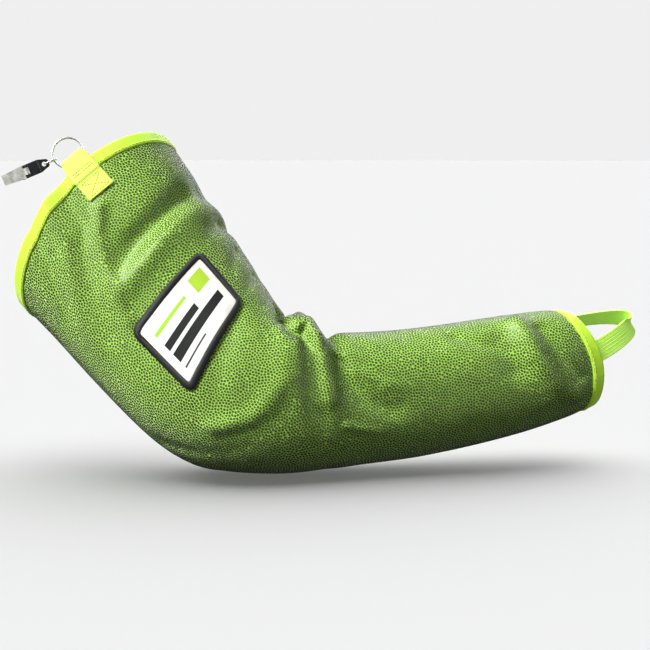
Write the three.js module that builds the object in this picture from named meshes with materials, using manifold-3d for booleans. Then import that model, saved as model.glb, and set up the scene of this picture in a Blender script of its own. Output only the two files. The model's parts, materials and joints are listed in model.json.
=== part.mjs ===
// A cut resistant work sleeve, kept in the form that it has on a bent arm.
// Millimetres, +Z up, seen from the front along +Y. The origin is the middle of the elbow.
import * as THREE from "three"
import { mergeVertices } from "three/addons/utils/BufferGeometryUtils.js"
import Module from "manifold-3d"

const wasm = await Module()
wasm.setup()

// Sleeve: lengths along its middle line, and outer sizes across it.
const UPPER_LENGTH = 203
const FOREARM_LENGTH = 283
const ARM_WIDTH = 182
const ARM_DEPTH = 128
const ELBOW_WIDTH = 150
const ELBOW_DEPTH = 112
const FOREARM_WIDTH = 106
const FOREARM_DEPTH = 84
const WRIST_WIDTH = 82
const WRIST_DEPTH = 60
const WALL = 1.6
const CLEARANCE = 0.3

// How the arm line runs: its fall below the horizontal and its turn away from the front, in degrees.
const UPPER_FALL = 48.7
const ELBOW_FALL = -3.6
const WRIST_FALL = -10.9
const UPPER_TURN = -18
const FOREARM_TURN = 12
const CROOK_RADIUS = 20

// The rims are cut slanting and bowed.
const ARM_SLANT = 17
const ARM_BOW = 21
const WRIST_SLANT = -2.5
const WRIST_BOW = 11

// Binding tape round both rims.
const TAPE_THICKNESS = 0.9
const TAPE_WIDTH = 9.5

// Webbing tab over the arm rim, with its ring.
const TAB_WIDTH = 24.5
const TAB_THICKNESS = 1.2
const TAB_LENGTH = 29
const TAB_INNER_LENGTH = 20
const TAB_GATHER = 0.88
const RING_RADIUS = 12.6
const RING_WIRE = 1.4
const RING_COILS = 2

// Link between the ring and the clip.
const LINK_LENGTH = 10.4
const LINK_WIRE = 1.4
const LINK_PLAY = 0.7

// Clip.
const EYE_DIAMETER = 3.8
const EYE_EDGE = 2.2
const CLIP_NOSE_LENGTH = 6
const CLIP_BASE_WIDTH = 11
const CLIP_BASE_THICKNESS = 1.4
const CLIP_NOSE_WIDTH = 6.5
const PIN_DIAMETER = 1.8
const KNUCKLE_WALL = 0.9
const KNUCKLE_LENGTH = 5.6
const LUG_THICKNESS = 1.5
const JAW_LENGTH = 21
const JAW_ROOT_WIDTH = 11
const JAW_TIP_WIDTH = 8.2
const JAW_THICKNESS = 0.8
const LEVER_LENGTH = 10
const PAD_WIDTH = 9.5
const PAD_THICKNESS = 1.3
const PAD_OVERHANG = 1.2
const PAD_RIB = 0.5
const CLIP_FALL = 22.6

// Label patch.
const LABEL_LENGTH = 88
const LABEL_WIDTH = 62
const LABEL_CORNER = 8
const LABEL_TAPER = 0.13
const LABEL_SKEW = 0.22
const LABEL_BORDER = 6
const LABEL_THICKNESS = 0.8
const BORDER_THICKNESS = 1.5
const LABEL_GAP = 0.8

// Thumb loop.
const LOOP_WIDTH = 19
const LOOP_THICKNESS = 1.2
const LOOP_REACH = 48
const LOOP_LIFT = 3
const LOOP_TUCK = 7

// Mesh divisions.
const ROUND = 36
const SPANS = [
  { from: -0.92, to: -0.3, steps: 9 },
  { from: -0.3, to: 0.42, steps: 27 },
  { from: 0.42, to: 0.93, steps: 9 },
]

// Angles round the sleeve: 0 in the crook of the elbow, -90 at the front, 90 at the back and
// 180 on the point of the elbow. Places along it: -1 at the arm rim, 0 at the elbow, 1 at the wrist rim.
const TAB_ANGLE = -71.5
const RING_LINK_ANGLE = 77
const LABEL_PLACE = { along: -0.352, angle: -74, turn: -18 }
const LOOP_FRONT_ANGLE = -80
const LOOP_BACK_ANGLE = 32

// Half sizes towards the crook, towards the elbow point and towards front and back,
// as shares of the width and the depth that rule there.
const SECTIONS = [
  { along: -1.0, width: ARM_WIDTH, depth: ARM_DEPTH, crook: 0.505, point: 0.5, side: 0.5 },
  { along: -0.75, width: ARM_WIDTH, depth: ARM_DEPTH, crook: 0.48, point: 0.47, side: 0.49 },
  { along: -0.5, width: ELBOW_WIDTH, depth: ELBOW_DEPTH, crook: 0.542, point: 0.548, side: 0.535 },
  { along: -0.25, width: ELBOW_WIDTH, depth: ELBOW_DEPTH, crook: 0.5, point: 0.515, side: 0.515 },
  { along: -0.06, width: ELBOW_WIDTH, depth: ELBOW_DEPTH, crook: 0.492, point: 0.47, side: 0.5 },
  { along: 0.06, width: ELBOW_WIDTH, depth: ELBOW_DEPTH, crook: 0.5, point: 0.382, side: 0.49 },
  { along: 0.17, width: ELBOW_WIDTH, depth: ELBOW_DEPTH, crook: 0.5, point: 0.35, side: 0.46 },
  { along: 0.235, width: FOREARM_WIDTH, depth: FOREARM_DEPTH, crook: 0.565, point: 0.5, side: 0.56 },
  { along: 0.3, width: FOREARM_WIDTH, depth: FOREARM_DEPTH, crook: 0.532, point: 0.5, side: 0.54 },
  { along: 0.48, width: FOREARM_WIDTH, depth: FOREARM_DEPTH, crook: 0.495, point: 0.509, side: 0.51 },
  { along: 0.76, width: FOREARM_WIDTH, depth: FOREARM_DEPTH, crook: 0.472, point: 0.475, side: 0.475 },
  { along: 0.93, width: FOREARM_WIDTH, depth: FOREARM_DEPTH, crook: 0.44, point: 0.425, side: 0.42 },
  { along: 1.0, width: WRIST_WIDTH, depth: WRIST_DEPTH, crook: 0.5, point: 0.5, side: 0.5 },
]
const SQUARENESS = 2.35

// Folds of the cloth on the front: each follows its path of places and angles. Widths and lifts
// are shares of the elbow's width, end is the share of the lift that is left at the path's
// end, and back is the share that shows on the back, mirrored.
const FOLDS = [
  { path: [[-0.8, -5], [-0.725, -75]], width: 0.085, lift: -0.034, end: 0.6, back: 0.5 },
  { path: [[-0.695, -12], [-0.63, -90]], width: 0.09, lift: 0.022, end: 0.7, back: 0.5 },
  { path: [[-0.64, 0], [-0.61, -28]], width: 0.05, lift: -0.045, end: 0.3, back: 0.8 },
  { path: [[-0.13, 0], [0.03, -24], [0.12, -42], [0.155, -114]],
    width: 0.055, lift: -0.06, end: 0.15, back: 0.8 },
  { path: [[0.16, -20], [0.188, -80]], width: 0.055, lift: 0.028, end: 0.6, back: 0.7 },
  { path: [[0.238, 0], [0.245, -44], [0.35, -68]], width: 0.045, lift: -0.052, end: 0.2, back: 0.8 },
  { path: [[0.23, -62], [0.38, -93]], width: 0.09, lift: -0.022, end: 0.8, back: 0.6 },
  { path: [[0.73, -48], [0.765, -78]], width: 0.09, lift: -0.022, end: 1, back: 0.4 },
  { path: [[0.835, -35], [0.87, -115]], width: 0.09, lift: 0.016, end: 1, back: 0.4 },
]

const radians = THREE.MathUtils.degToRad
const clamp = THREE.MathUtils.clamp
const lerp = THREE.MathUtils.lerp

function smooth(t) {
  const x = clamp(t, 0, 1)
  return x * x * (3 - 2 * x)
}

// The arm line, followed in short steps. Its bend is as long as the crook's radius needs.
const LINE_STEP = 1
const LINE_SPARE = Math.max(ARM_SLANT, 0) + ARM_BOW + WRIST_BOW + TAPE_WIDTH
const BEND_LENGTH = 1.5 * radians(UPPER_FALL - ELBOW_FALL) * (ELBOW_WIDTH / 2 + CROOK_RADIUS)

function directionAt(s) {
  const bend = smooth((s + BEND_LENGTH / 2) / BEND_LENGTH)
  const rise = (WRIST_FALL - ELBOW_FALL) * clamp(s / FOREARM_LENGTH, 0, 1)
  const fall = radians(lerp(UPPER_FALL, ELBOW_FALL, bend) + rise)
  const turn = radians(lerp(UPPER_TURN, FOREARM_TURN, bend))
  const level = Math.cos(turn)
  const along = new THREE.Vector3(Math.cos(fall) * level, Math.sin(turn), -Math.sin(fall) * level)
  const crook = new THREE.Vector3(Math.sin(fall), 0, Math.cos(fall))
  const back = new THREE.Vector3().crossVectors(crook, along)
  return { along, crook, back }
}

function followLine(length, sense) {
  const points = [new THREE.Vector3()]
  const count = Math.ceil((length + LINE_SPARE) / LINE_STEP)
  for (let i = 0; i < count; i += 1) {
    const middle = directionAt(sense * (i + 0.5) * LINE_STEP).along
    points.push(points[i].clone().addScaledVector(middle, sense * LINE_STEP))
  }
  return points
}

const UPPER_LINE = followLine(UPPER_LENGTH, -1)
const FOREARM_LINE = followLine(FOREARM_LENGTH, 1)

function lineAt(s) {
  const points = s < 0 ? UPPER_LINE : FOREARM_LINE
  const place = Math.abs(s) / LINE_STEP
  const i = Math.min(Math.floor(place), points.length - 2)
  return points[i].clone().lerp(points[i + 1], place - i)
}

function toShare(s) {
  return s < 0 ? s / UPPER_LENGTH : s / FOREARM_LENGTH
}

function fromShare(share) {
  return share < 0 ? share * UPPER_LENGTH : share * FOREARM_LENGTH
}

// A smooth curve through the sections' sizes, straight on past the rims.
function sectionSize(share, read) {
  const last = SECTIONS.length - 1
  const x = clamp(share, -1, 1)
  let i = 0
  while (i < last - 1 && SECTIONS[i + 1].along < x) i += 1
  const value = (k) => read(SECTIONS[clamp(k, 0, last)])
  const place = (k) => SECTIONS[clamp(k, 0, last)].along
  const slope = (k) => (value(k + 1) - value(k - 1)) / (place(k + 1) - place(k - 1))
  const gap = place(i + 1) - place(i)
  const t = (x - place(i)) / gap
  const start = (2 * t - 3) * t * t + 1
  const end = 1 - start
  const leave = ((t - 2) * t + 1) * t
  const arrive = (t - 1) * t * t
  const beyond = (share - x) * slope(x > 0 ? last : 0)
  return start * value(i) + end * value(i + 1) + gap * (leave * slope(i) + arrive * slope(i + 1)) + beyond
}

// How much cloth lies along the sleeve at a place for each millimetre of the arm line: less in
// the crook of the bend, more on its outside.
function stretch(s, angle) {
  const bend = clamp((s + BEND_LENGTH / 2) / BEND_LENGTH, 0, 1)
  const curve = 6 * bend * (1 - bend) * radians(UPPER_FALL - ELBOW_FALL) / BEND_LENGTH
  return 1 - curve * Math.cos(radians(angle)) * ELBOW_WIDTH / 2
}

// The nearest point of a fold's path: how far off it lies, and how far along the path, 0 to 1.
function nearestOnFold(fold, s, angle) {
  const unit = radians(1) * ELBOW_WIDTH / 2
  const along = stretch(s, angle)
  const here = new THREE.Vector2(s, -Math.abs(angle) * unit)
  const places = fold.path.map(([share, turn]) => new THREE.Vector2(fromShare(share), turn * unit))
  let nearest = { distance: Infinity, progress: 0 }
  for (let i = 0; i < places.length - 1; i += 1) {
    const run = places[i + 1].clone().sub(places[i])
    const t = clamp(here.clone().sub(places[i]).dot(run) / run.lengthSq(), 0, 1)
    const away = places[i].clone().addScaledVector(run, t).sub(here)
    const distance = Math.hypot(away.x * along, away.y)
    if (distance < nearest.distance) nearest = { distance, progress: (i + t) / (places.length - 1) }
  }
  return nearest
}

// How far the folds lift the cloth at a place.
function foldLift(s, angle) {
  const turned = THREE.MathUtils.euclideanModulo(angle + 180, 360) - 180
  const frontness = smooth((15 - turned) / 30)
  let lift = 0
  for (const fold of FOLDS) {
    const { distance, progress } = nearestOnFold(fold, s, turned)
    const fade = Math.exp(-((distance / (fold.width * ELBOW_WIDTH)) ** 2))
    lift += fold.lift * ELBOW_WIDTH * lerp(1, fold.end, progress) * lerp(fold.back, 1, frontness) * fade
  }
  return lift
}

// The outer face of the cloth.
function skin(s, angle) {
  const share = toShare(s)
  const c = Math.cos(radians(angle))
  const q = Math.sin(radians(angle))
  const reach = (Math.abs(c) ** SQUARENESS + Math.abs(q) ** SQUARENESS) ** (-1 / SQUARENESS)
  const half = sectionSize(share, (row) => row.width * (c > 0 ? row.crook : row.point))
  const side = sectionSize(share, (row) => row.depth * row.side)
  const { crook, back } = directionAt(s)
  const outward = new THREE.Vector3()
  outward.addScaledVector(crook, c / half).addScaledVector(back, q / side).normalize()
  const point = lineAt(s)
  point.addScaledVector(crook, reach * c * half)
  point.addScaledVector(back, reach * q * side)
  return point.addScaledVector(outward, foldLift(s, angle))
}

// The face with its two directions and its normal, by small differences.
function skinFrame(s, angle) {
  const step = 0.5
  const degree = 0.5
  const point = skin(s, angle)
  const alongSlope = skin(s + step, angle).sub(skin(s - step, angle)).divideScalar(2 * step)
  const roundSlope = skin(s, angle + degree).sub(skin(s, angle - degree)).divideScalar(2 * degree)
  const normal = new THREE.Vector3().crossVectors(alongSlope, roundSlope).normalize()
  return { point, alongSlope, roundSlope, normal }
}

function raised(s, angle, height) {
  const { point, normal } = skinFrame(s, angle)
  return point.addScaledVector(normal, height)
}

// The rims' places along the sleeve at an angle. A side of -1 is the arm rim, 1 the wrist rim.
const RIMS = {
  arm: { side: -1, length: UPPER_LENGTH, slant: ARM_SLANT, bow: ARM_BOW },
  wrist: { side: 1, length: FOREARM_LENGTH, slant: WRIST_SLANT, bow: WRIST_BOW },
}

function rimPlace(rim, angle) {
  const turn = radians(angle)
  return rim.side * (rim.length + rim.slant * Math.cos(turn) + rim.bow * Math.sin(turn) ** 2)
}

// A rim's own frame: its point, the way along the rim, out of the sleeve and away from the cloth.
function rimFrame(rim, angle) {
  const step = 0.5
  const { point, normal } = skinFrame(rimPlace(rim, angle), angle)
  const before = skin(rimPlace(rim, angle - step), angle - step)
  const after = skin(rimPlace(rim, angle + step), angle + step)
  const along = after.sub(before).normalize()
  const out = new THREE.Vector3().crossVectors(along, normal).multiplyScalar(rim.side).normalize()
  return { point, normal, along, out }
}

// Builders of closed meshes from grids of points.
function closedMesh(points, faces) {
  const positions = new Float32Array(points.length * 3)
  points.forEach((p, i) => p.toArray(positions, i * 3))
  let volume = 0
  for (const [a, b, c] of faces) {
    volume += points[a].dot(new THREE.Vector3().crossVectors(points[b], points[c]))
  }
  const index = volume < 0 ? faces.map(([a, b, c]) => [a, c, b]) : faces
  const geometry = new THREE.BufferGeometry()
  geometry.setAttribute("position", new THREE.BufferAttribute(positions, 3))
  geometry.setIndex(index.flat())
  geometry.computeVertexNormals()
  return geometry
}

// A body swept round a closed loop: every ring of points is a closed section.
function loopBody(rings) {
  const faces = []
  const n = rings[0].length
  for (let i = 0; i < rings.length; i += 1) {
    for (let j = 0; j < n; j += 1) {
      const a = i * n + j
      const b = i * n + (j + 1) % n
      const c = ((i + 1) % rings.length) * n + (j + 1) % n
      const d = ((i + 1) % rings.length) * n + j
      faces.push([a, b, c], [a, c, d])
    }
  }
  return closedMesh(rings.flat(), faces)
}

// A strip between two ends: every ring of points is a closed section, and the ends are closed flat.
function stripBody(rings) {
  const faces = []
  const n = rings[0].length
  for (let i = 0; i < rings.length - 1; i += 1) {
    for (let j = 0; j < n; j += 1) {
      const a = i * n + j
      const b = i * n + (j + 1) % n
      faces.push([a, b, b + n], [a, b + n, a + n])
    }
  }
  const last = (rings.length - 1) * n
  const half = n / 2
  for (let j = 0; j < half - 1; j += 1) {
    const k = n - 1 - j
    faces.push([j, k, j + 1], [j + 1, k, k - 1])
    faces.push([last + j, last + j + 1, last + k], [last + j + 1, last + k - 1, last + k])
  }
  return closedMesh(rings.flat(), faces)
}

// A plate: rings of points grow from a middle point, on its top and on its underside.
function plateBody(top, bottom, topMiddle, bottomMiddle) {
  const n = top[0].length
  const points = [topMiddle, bottomMiddle, ...top.flat(), ...bottom.flat()]
  const topStart = 2
  const bottomStart = 2 + n * top.length
  const faces = []
  for (let j = 0; j < n; j += 1) {
    const k = (j + 1) % n
    faces.push([0, topStart + j, topStart + k], [1, bottomStart + k, bottomStart + j])
    for (let i = 0; i < top.length - 1; i += 1) {
      const t = topStart + i * n
      const b = bottomStart + i * n
      faces.push([t + j, t + n + j, t + n + k], [t + j, t + n + k, t + k])
      faces.push([b + j, b + n + k, b + n + j], [b + j, b + k, b + n + k])
    }
    const t = topStart + (top.length - 1) * n
    const b = bottomStart + (top.length - 1) * n
    faces.push([t + j, b + j, b + k], [t + j, b + k, t + k])
  }
  return closedMesh(points, faces)
}

// Joining and cutting.
function toSolid(geometry) {
  const bare = geometry.index ? geometry.clone() : geometry
  bare.deleteAttribute("normal")
  bare.deleteAttribute("uv")
  const merged = mergeVertices(bare, 1e-4)
  const vertProperties = new Float32Array(merged.attributes.position.array)
  const triVerts = new Uint32Array(merged.index.array)
  return new wasm.Manifold(new wasm.Mesh({ numProp: 3, vertProperties, triVerts }))
}

function toGeometry(solid) {
  const mesh = solid.getMesh()
  const geometry = new THREE.BufferGeometry()
  geometry.setAttribute("position", new THREE.BufferAttribute(new Float32Array(mesh.vertProperties), 3))
  geometry.setIndex(Array.from(mesh.triVerts))
  geometry.computeVertexNormals()
  return geometry
}

function makeMaterial(color, roughness, metalness) {
  return new THREE.MeshStandardMaterial({ color, roughness, metalness })
}

const MATERIALS = {
  cloth: makeMaterial(0x66a836, 0.75, 0),
  tape: makeMaterial(0xd2f53c, 0.6, 0),
  webbing: makeMaterial(0xe2ff70, 0.65, 0),
  elastic: makeMaterial(0xb4ec3a, 0.7, 0),
  steel: makeMaterial(0xd8dadc, 0.2, 1),
  satin: makeMaterial(0xc9ccc4, 0.4, 1),
  plastic: makeMaterial(0x1b1c1e, 0.45, 0),
  label: makeMaterial(0xf2f1ea, 0.7, 0),
  border: makeMaterial(0x17181a, 0.8, 0),
}

function named(name, geometry, material) {
  const mesh = new THREE.Mesh(geometry, MATERIALS[material])
  mesh.name = name
  return mesh
}

// The sleeve: outer face down one way, inner face back, all round.
function sleeveStations() {
  const shares = [SPANS[0].from]
  for (const span of SPANS) {
    for (let i = 1; i <= span.steps; i += 1) shares.push(lerp(span.from, span.to, i / span.steps))
  }
  return shares
}

// The stations lean with the rims: fully at a rim, not at all at the elbow.
function stationPlace(share, angle) {
  const rim = share < 0 ? RIMS.arm : RIMS.wrist
  const drift = rimPlace(rim, angle) - rim.side * rim.length
  return fromShare(share) + drift * smooth((Math.abs(share) - 0.4) / 0.6)
}

// The last station before a rim lies under the edge of its tape.
function rimStations(rim, angle) {
  const place = rimPlace(rim, angle)
  return [place, place - rim.side * TAPE_WIDTH]
}

function makeSleeve() {
  const shares = sleeveStations()
  const rings = []
  for (let k = 0; k < ROUND; k += 1) {
    const angle = k * 360 / ROUND
    const places = shares.map((share) => stationPlace(share, angle))
    places.unshift(...rimStations(RIMS.arm, angle))
    places.push(...rimStations(RIMS.wrist, angle).reverse())
    const outside = places.map((s) => raised(s, angle, 0))
    const inside = places.map((s) => raised(s, angle, -WALL))
    rings.push([...outside, ...inside.reverse()])
  }
  return loopBody(rings)
}

// Tape folded over a rim, clear of the cloth on both faces.
const TAPE_TOP = CLEARANCE + TAPE_THICKNESS
const TAPE_FOLD = WALL / 2 + CLEARANCE + TAPE_TOP

function makeBinding(rim) {
  const middle = -WALL / 2
  const inner = WALL / 2 + CLEARANCE
  const outer = inner + TAPE_THICKNESS
  const section = [
    [TAPE_WIDTH, middle + outer],
    [0, middle + outer],
    [-TAPE_FOLD * 0.7, middle + outer * 0.7],
    [-TAPE_FOLD, middle],
    [-TAPE_FOLD * 0.7, middle - outer * 0.7],
    [0, middle - outer],
    [TAPE_WIDTH, middle - outer],
    [TAPE_WIDTH, middle - inner],
    [-CLEARANCE * 1.5, middle - inner],
    [-CLEARANCE * 1.5, middle + inner],
    [TAPE_WIDTH, middle + inner],
  ]
  const rings = []
  for (let k = 0; k < ROUND; k += 1) {
    const angle = k * 360 / ROUND
    const place = rimPlace(rim, angle)
    rings.push(section.map(([depth, height]) => raised(place - rim.side * depth, angle, height)))
  }
  return loopBody(rings)
}

// A patch laid on the sleeve without stretching: a straight walk over the cloth from a middle point.
function layOn(place, right, up) {
  const WALK_STEPS = 10
  return (x, y) => {
    let { s, angle } = place
    const direction = right.clone().multiplyScalar(x).addScaledVector(up, y)
    const stride = direction.length() / WALK_STEPS
    for (let i = 0; i < WALK_STEPS && stride > 0; i += 1) {
      const { alongSlope, roundSlope, normal } = skinFrame(s, angle)
      direction.addScaledVector(normal, -direction.dot(normal)).setLength(stride)
      const aa = alongSlope.lengthSq()
      const rr = roundSlope.lengthSq()
      const ar = alongSlope.dot(roundSlope)
      const da = direction.dot(alongSlope)
      const dr = direction.dot(roundSlope)
      const area = aa * rr - ar * ar
      s += (da * rr - dr * ar) / area
      angle += (dr * aa - da * ar) / area
    }
    return { s, angle }
  }
}

// How far a straight line between two places on a rim, a turn to either side, lies inside it.
function chordSag(rim, angle, turn) {
  const { point, normal } = rimFrame(rim, angle)
  const sides = [-turn, turn].map((by) => skin(rimPlace(rim, angle + by), angle + by).sub(point).dot(normal))
  return -Math.min(...sides, 0)
}

const FACET_TURN = 180 / ROUND

const tabRim = rimFrame(RIMS.arm, TAB_ANGLE)
const tabPlace = { s: rimPlace(RIMS.arm, TAB_ANGLE), angle: TAB_ANGLE }
const TAB_OUTSIDE = TAPE_TOP + CLEARANCE + TAB_THICKNESS / 2
const TAB_ON_CLOTH = CLEARANCE * 2 + TAB_THICKNESS / 2
const TAB_SAG = chordSag(RIMS.arm, TAB_ANGLE, FACET_TURN)
const TAB_INSIDE = -(WALL + TAPE_TOP + CLEARANCE * 3 + TAB_SAG + TAB_THICKNESS / 2)
const TAB_FOLD_RADIUS = (TAB_OUTSIDE - TAB_INSIDE) / 2
const TAB_MIDDLE = (TAB_OUTSIDE + TAB_INSIDE) / 2

// The tab is gathered where it folds round the ring, and reaches as far as the ring's arc needs.
const RING_INNER = RING_RADIUS - RING_WIRE / 2
const RING_OUTER = RING_RADIUS + RING_WIRE / 2
const TAB_FOLD_WIDTH = Math.min(TAB_WIDTH, RING_INNER * 2 * TAB_GATHER)
const RING_DROP = Math.sqrt(RING_INNER ** 2 - (TAB_FOLD_WIDTH / 2) ** 2)
const RING_CENTRE_OUT = TAPE_FOLD + CLEARANCE * 2 + RING_OUTER
const TAB_REACH = RING_CENTRE_OUT - RING_DROP + CLEARANCE * 3 + TAB_THICKNESS / 2

// The tab's middle line, from its outer end over the rim to its inner end: depth is how far
// below the rim, height how far off the cloth, and facing which way its outer side looks.
function tabLine() {
  const line = []
  const outerSteps = 9
  const step = (depth) => smooth((depth - TAPE_WIDTH - CLEARANCE) / (TAB_THICKNESS * 2.5))
  for (let i = 0; i <= outerSteps; i += 1) {
    const depth = TAB_LENGTH * (1 - i / outerSteps)
    line.push({ depth, height: lerp(TAB_OUTSIDE, TAB_ON_CLOTH, step(depth)), facing: 0 })
  }
  const foldDepth = TAB_FOLD_RADIUS - TAB_REACH
  const foldSteps = 8
  for (let i = 0; i <= foldSteps; i += 1) {
    const facing = 180 * i / foldSteps
    const depth = foldDepth - TAB_FOLD_RADIUS * Math.sin(radians(facing))
    line.push({ depth, height: TAB_MIDDLE + TAB_FOLD_RADIUS * Math.cos(radians(facing)), facing })
  }
  const innerSteps = 4
  for (let i = 0; i <= innerSteps; i += 1) {
    line.push({ depth: TAB_INNER_LENGTH * i / innerSteps, height: TAB_INSIDE, facing: 180 })
  }
  return line
}

function makeTab() {
  const layTab = layOn(tabPlace, tabRim.along, tabRim.out)
  const columns = 4
  const at = (x, depth, height) => {
    const { s, angle } = layTab(x, -Math.max(depth, 0))
    return raised(s, angle, height).addScaledVector(tabRim.out, Math.max(-depth, 0))
  }
  const rings = tabLine().map(({ depth, height, facing }) => {
    const up = Math.cos(radians(facing)) * TAB_THICKNESS / 2
    const out = Math.sin(radians(facing)) * TAB_THICKNESS / 2
    const outer = []
    const inner = []
    const width = lerp(TAB_WIDTH, TAB_FOLD_WIDTH, smooth(-depth / TAB_REACH))
    for (let j = 0; j <= columns; j += 1) {
      const x = width * (j / columns - 0.5)
      outer.push(at(x, depth - out, height + up))
      inner.unshift(at(x, depth + out, height - up))
    }
    return [...outer, ...inner]
  })
  return stripBody(rings)
}

// The split ring lies in the tab's fold, in the tab's own plane.
function ringPoint(angle) {
  const centre = tabRim.point.clone()
  centre.addScaledVector(tabRim.out, RING_CENTRE_OUT).addScaledVector(tabRim.normal, TAB_MIDDLE)
  const spoke = tabRim.out.clone().multiplyScalar(Math.cos(radians(angle)))
  spoke.addScaledVector(tabRim.along, -Math.sin(radians(angle)))
  return { centre, spoke, point: centre.clone().addScaledVector(spoke, RING_RADIUS) }
}

function makeRing() {
  const corners = 6
  const rings = []
  for (let k = 0; k < 28; k += 1) {
    const { point, spoke } = ringPoint(k * 360 / 28)
    const ring = []
    for (let j = 0; j < corners; j += 1) {
      const turn = 2 * Math.PI * (j + 0.5) / corners
      const corner = point.clone().addScaledVector(spoke, Math.cos(turn) * RING_WIRE / 2)
      ring.push(corner.addScaledVector(tabRim.normal, Math.sin(turn) * RING_WIRE * RING_COILS / 2))
    }
    rings.push(ring)
  }
  return loopBody(rings)
}

// The clip's frame: x runs from the pin to the jaw's tip, y along the pin and z off its broad face.
const KNUCKLE_RADIUS = PIN_DIAMETER / 2 + CLEARANCE + KNUCKLE_WALL
const BASE_TOP = -(KNUCKLE_RADIUS + CLEARANCE)
const BASE_BOTTOM = BASE_TOP - CLIP_BASE_THICKNESS
const PAD_END = -(LEVER_LENGTH + PAD_OVERHANG)
const EYE_PLACE = PAD_END - LINK_WIRE - EYE_DIAMETER / 2
const clip = new THREE.Group()

// The link runs from the ring's wire to the edge of the clip's eye.
const linkStart = ringPoint(RING_LINK_ANGLE)
const LINK_AXIS = new THREE.Vector3(-Math.cos(radians(CLIP_FALL)), 0, -Math.sin(radians(CLIP_FALL)))
const LINK_FACE = new THREE.Vector3(0, -1, 0)
const LINK_HALF_WIDTH = Math.max(RING_WIRE * RING_COILS, CLIP_BASE_THICKNESS) / 2 + LINK_WIRE / 2 + LINK_PLAY
const LINK_BEHIND = RING_WIRE / 2 + LINK_PLAY + LINK_WIRE / 2
const LINK_STRAIGHT = LINK_LENGTH - 2 * LINK_HALF_WIDTH

function makeLink() {
  const middle = linkStart.point.clone().addScaledVector(LINK_AXIS, LINK_LENGTH / 2 - LINK_BEHIND)
  const width = new THREE.Vector3().crossVectors(LINK_FACE, LINK_AXIS)
  const rings = []
  const steps = 16
  for (let k = 0; k < steps; k += 1) {
    const turn = 2 * Math.PI * (k + 0.5) / steps
    const spoke = LINK_AXIS.clone().multiplyScalar(Math.cos(turn)).addScaledVector(LINK_FACE, Math.sin(turn))
    const point = middle.clone().addScaledVector(LINK_AXIS, Math.sign(Math.cos(turn)) * LINK_STRAIGHT / 2)
    point.addScaledVector(spoke, LINK_HALF_WIDTH)
    const ring = []
    for (let j = 0; j < 6; j += 1) {
      const corner = 2 * Math.PI * j / 6
      const place = point.clone().addScaledVector(spoke, Math.cos(corner) * LINK_WIRE / 2)
      ring.push(place.addScaledVector(width, Math.sin(corner) * LINK_WIRE / 2))
    }
    rings.push(ring)
  }
  return loopBody(rings)
}

// A flat outline in the clip's x and z, given its thickness along the pin.
function sideProfile(shape, width) {
  const geometry = new THREE.ExtrudeGeometry(shape, { depth: width, bevelEnabled: false, curveSegments: 8 })
  geometry.translate(0, 0, -width / 2)
  geometry.rotateX(Math.PI / 2)
  return geometry
}

// A flat outline in the clip's x and y, from one height to another.
function topProfile(shape, low, high) {
  const geometry = new THREE.ExtrudeGeometry(shape, { depth: high - low, bevelEnabled: false, curveSegments: 8 })
  geometry.translate(0, 0, low)
  return geometry
}

function polygon(points) {
  return new THREE.Shape(points.map(([x, y]) => new THREE.Vector2(x, y)))
}

function roundHole(shape, x, y, radius) {
  const hole = new THREE.Path()
  hole.absarc(x, y, radius, 0, 2 * Math.PI, true)
  shape.holes.push(hole)
  return shape
}

function boredRound() {
  const round = new THREE.Shape()
  round.absarc(0, 0, KNUCKLE_RADIUS, 0, 2 * Math.PI, false)
  return roundHole(round, 0, 0, PIN_DIAMETER / 2 + CLEARANCE)
}

// The jaws are tapered plates that meet in front of the knuckle.
function jawPlate(start, low) {
  const root = JAW_ROOT_WIDTH / 2
  const tip = JAW_TIP_WIDTH / 2
  const outline = polygon([[start, -root], [JAW_LENGTH, -tip], [JAW_LENGTH, tip], [start, root]])
  return topProfile(outline, low, low + JAW_THICKNESS)
}

const JAW_START = KNUCKLE_RADIUS + CLEARANCE
const LEVER_LOW = PIN_DIAMETER / 2 + CLEARANCE * 0.5
const LEVER_HIGH = LEVER_LOW + JAW_THICKNESS

function makeUpperJaw() {
  const knuckle = toSolid(sideProfile(boredRound(), KNUCKLE_LENGTH))
  const neckStart = KNUCKLE_RADIUS - KNUCKLE_WALL / 2
  const half = KNUCKLE_LENGTH / 2
  const neckEnd = JAW_START + CLEARANCE
  const neck = polygon([[neckStart, -half], [neckEnd, -half], [neckEnd, half], [neckStart, half]])
  const armStart = -KNUCKLE_RADIUS / 2
  const arm = polygon([[-LEVER_LENGTH, -half], [armStart, -half], [armStart, half], [-LEVER_LENGTH, half]])
  const plate = toSolid(jawPlate(JAW_START, CLEARANCE / 2))
  const neckSolid = toSolid(topProfile(neck, CLEARANCE / 2, CLEARANCE / 2 + JAW_THICKNESS))
  const armSolid = toSolid(topProfile(arm, LEVER_LOW, LEVER_HIGH))
  return toGeometry(knuckle.add(neckSolid).add(plate).add(armSolid))
}

function makePad() {
  const ribs = 5
  const front = -(KNUCKLE_RADIUS + CLEARANCE)
  const low = LEVER_HIGH + CLEARANCE
  const outline = [[PAD_END, low], [front, low], [front, low + PAD_THICKNESS]]
  for (let i = 0; i < ribs; i += 1) {
    const here = lerp(front, PAD_END, (i + 0.25) / ribs)
    const there = lerp(front, PAD_END, (i + 0.75) / ribs)
    outline.push([here, low + PAD_THICKNESS + PAD_RIB], [there, low + PAD_THICKNESS + PAD_RIB])
    outline.push([lerp(front, PAD_END, (i + 1) / ribs), low + PAD_THICKNESS])
  }
  return sideProfile(polygon(outline), PAD_WIDTH)
}

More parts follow.
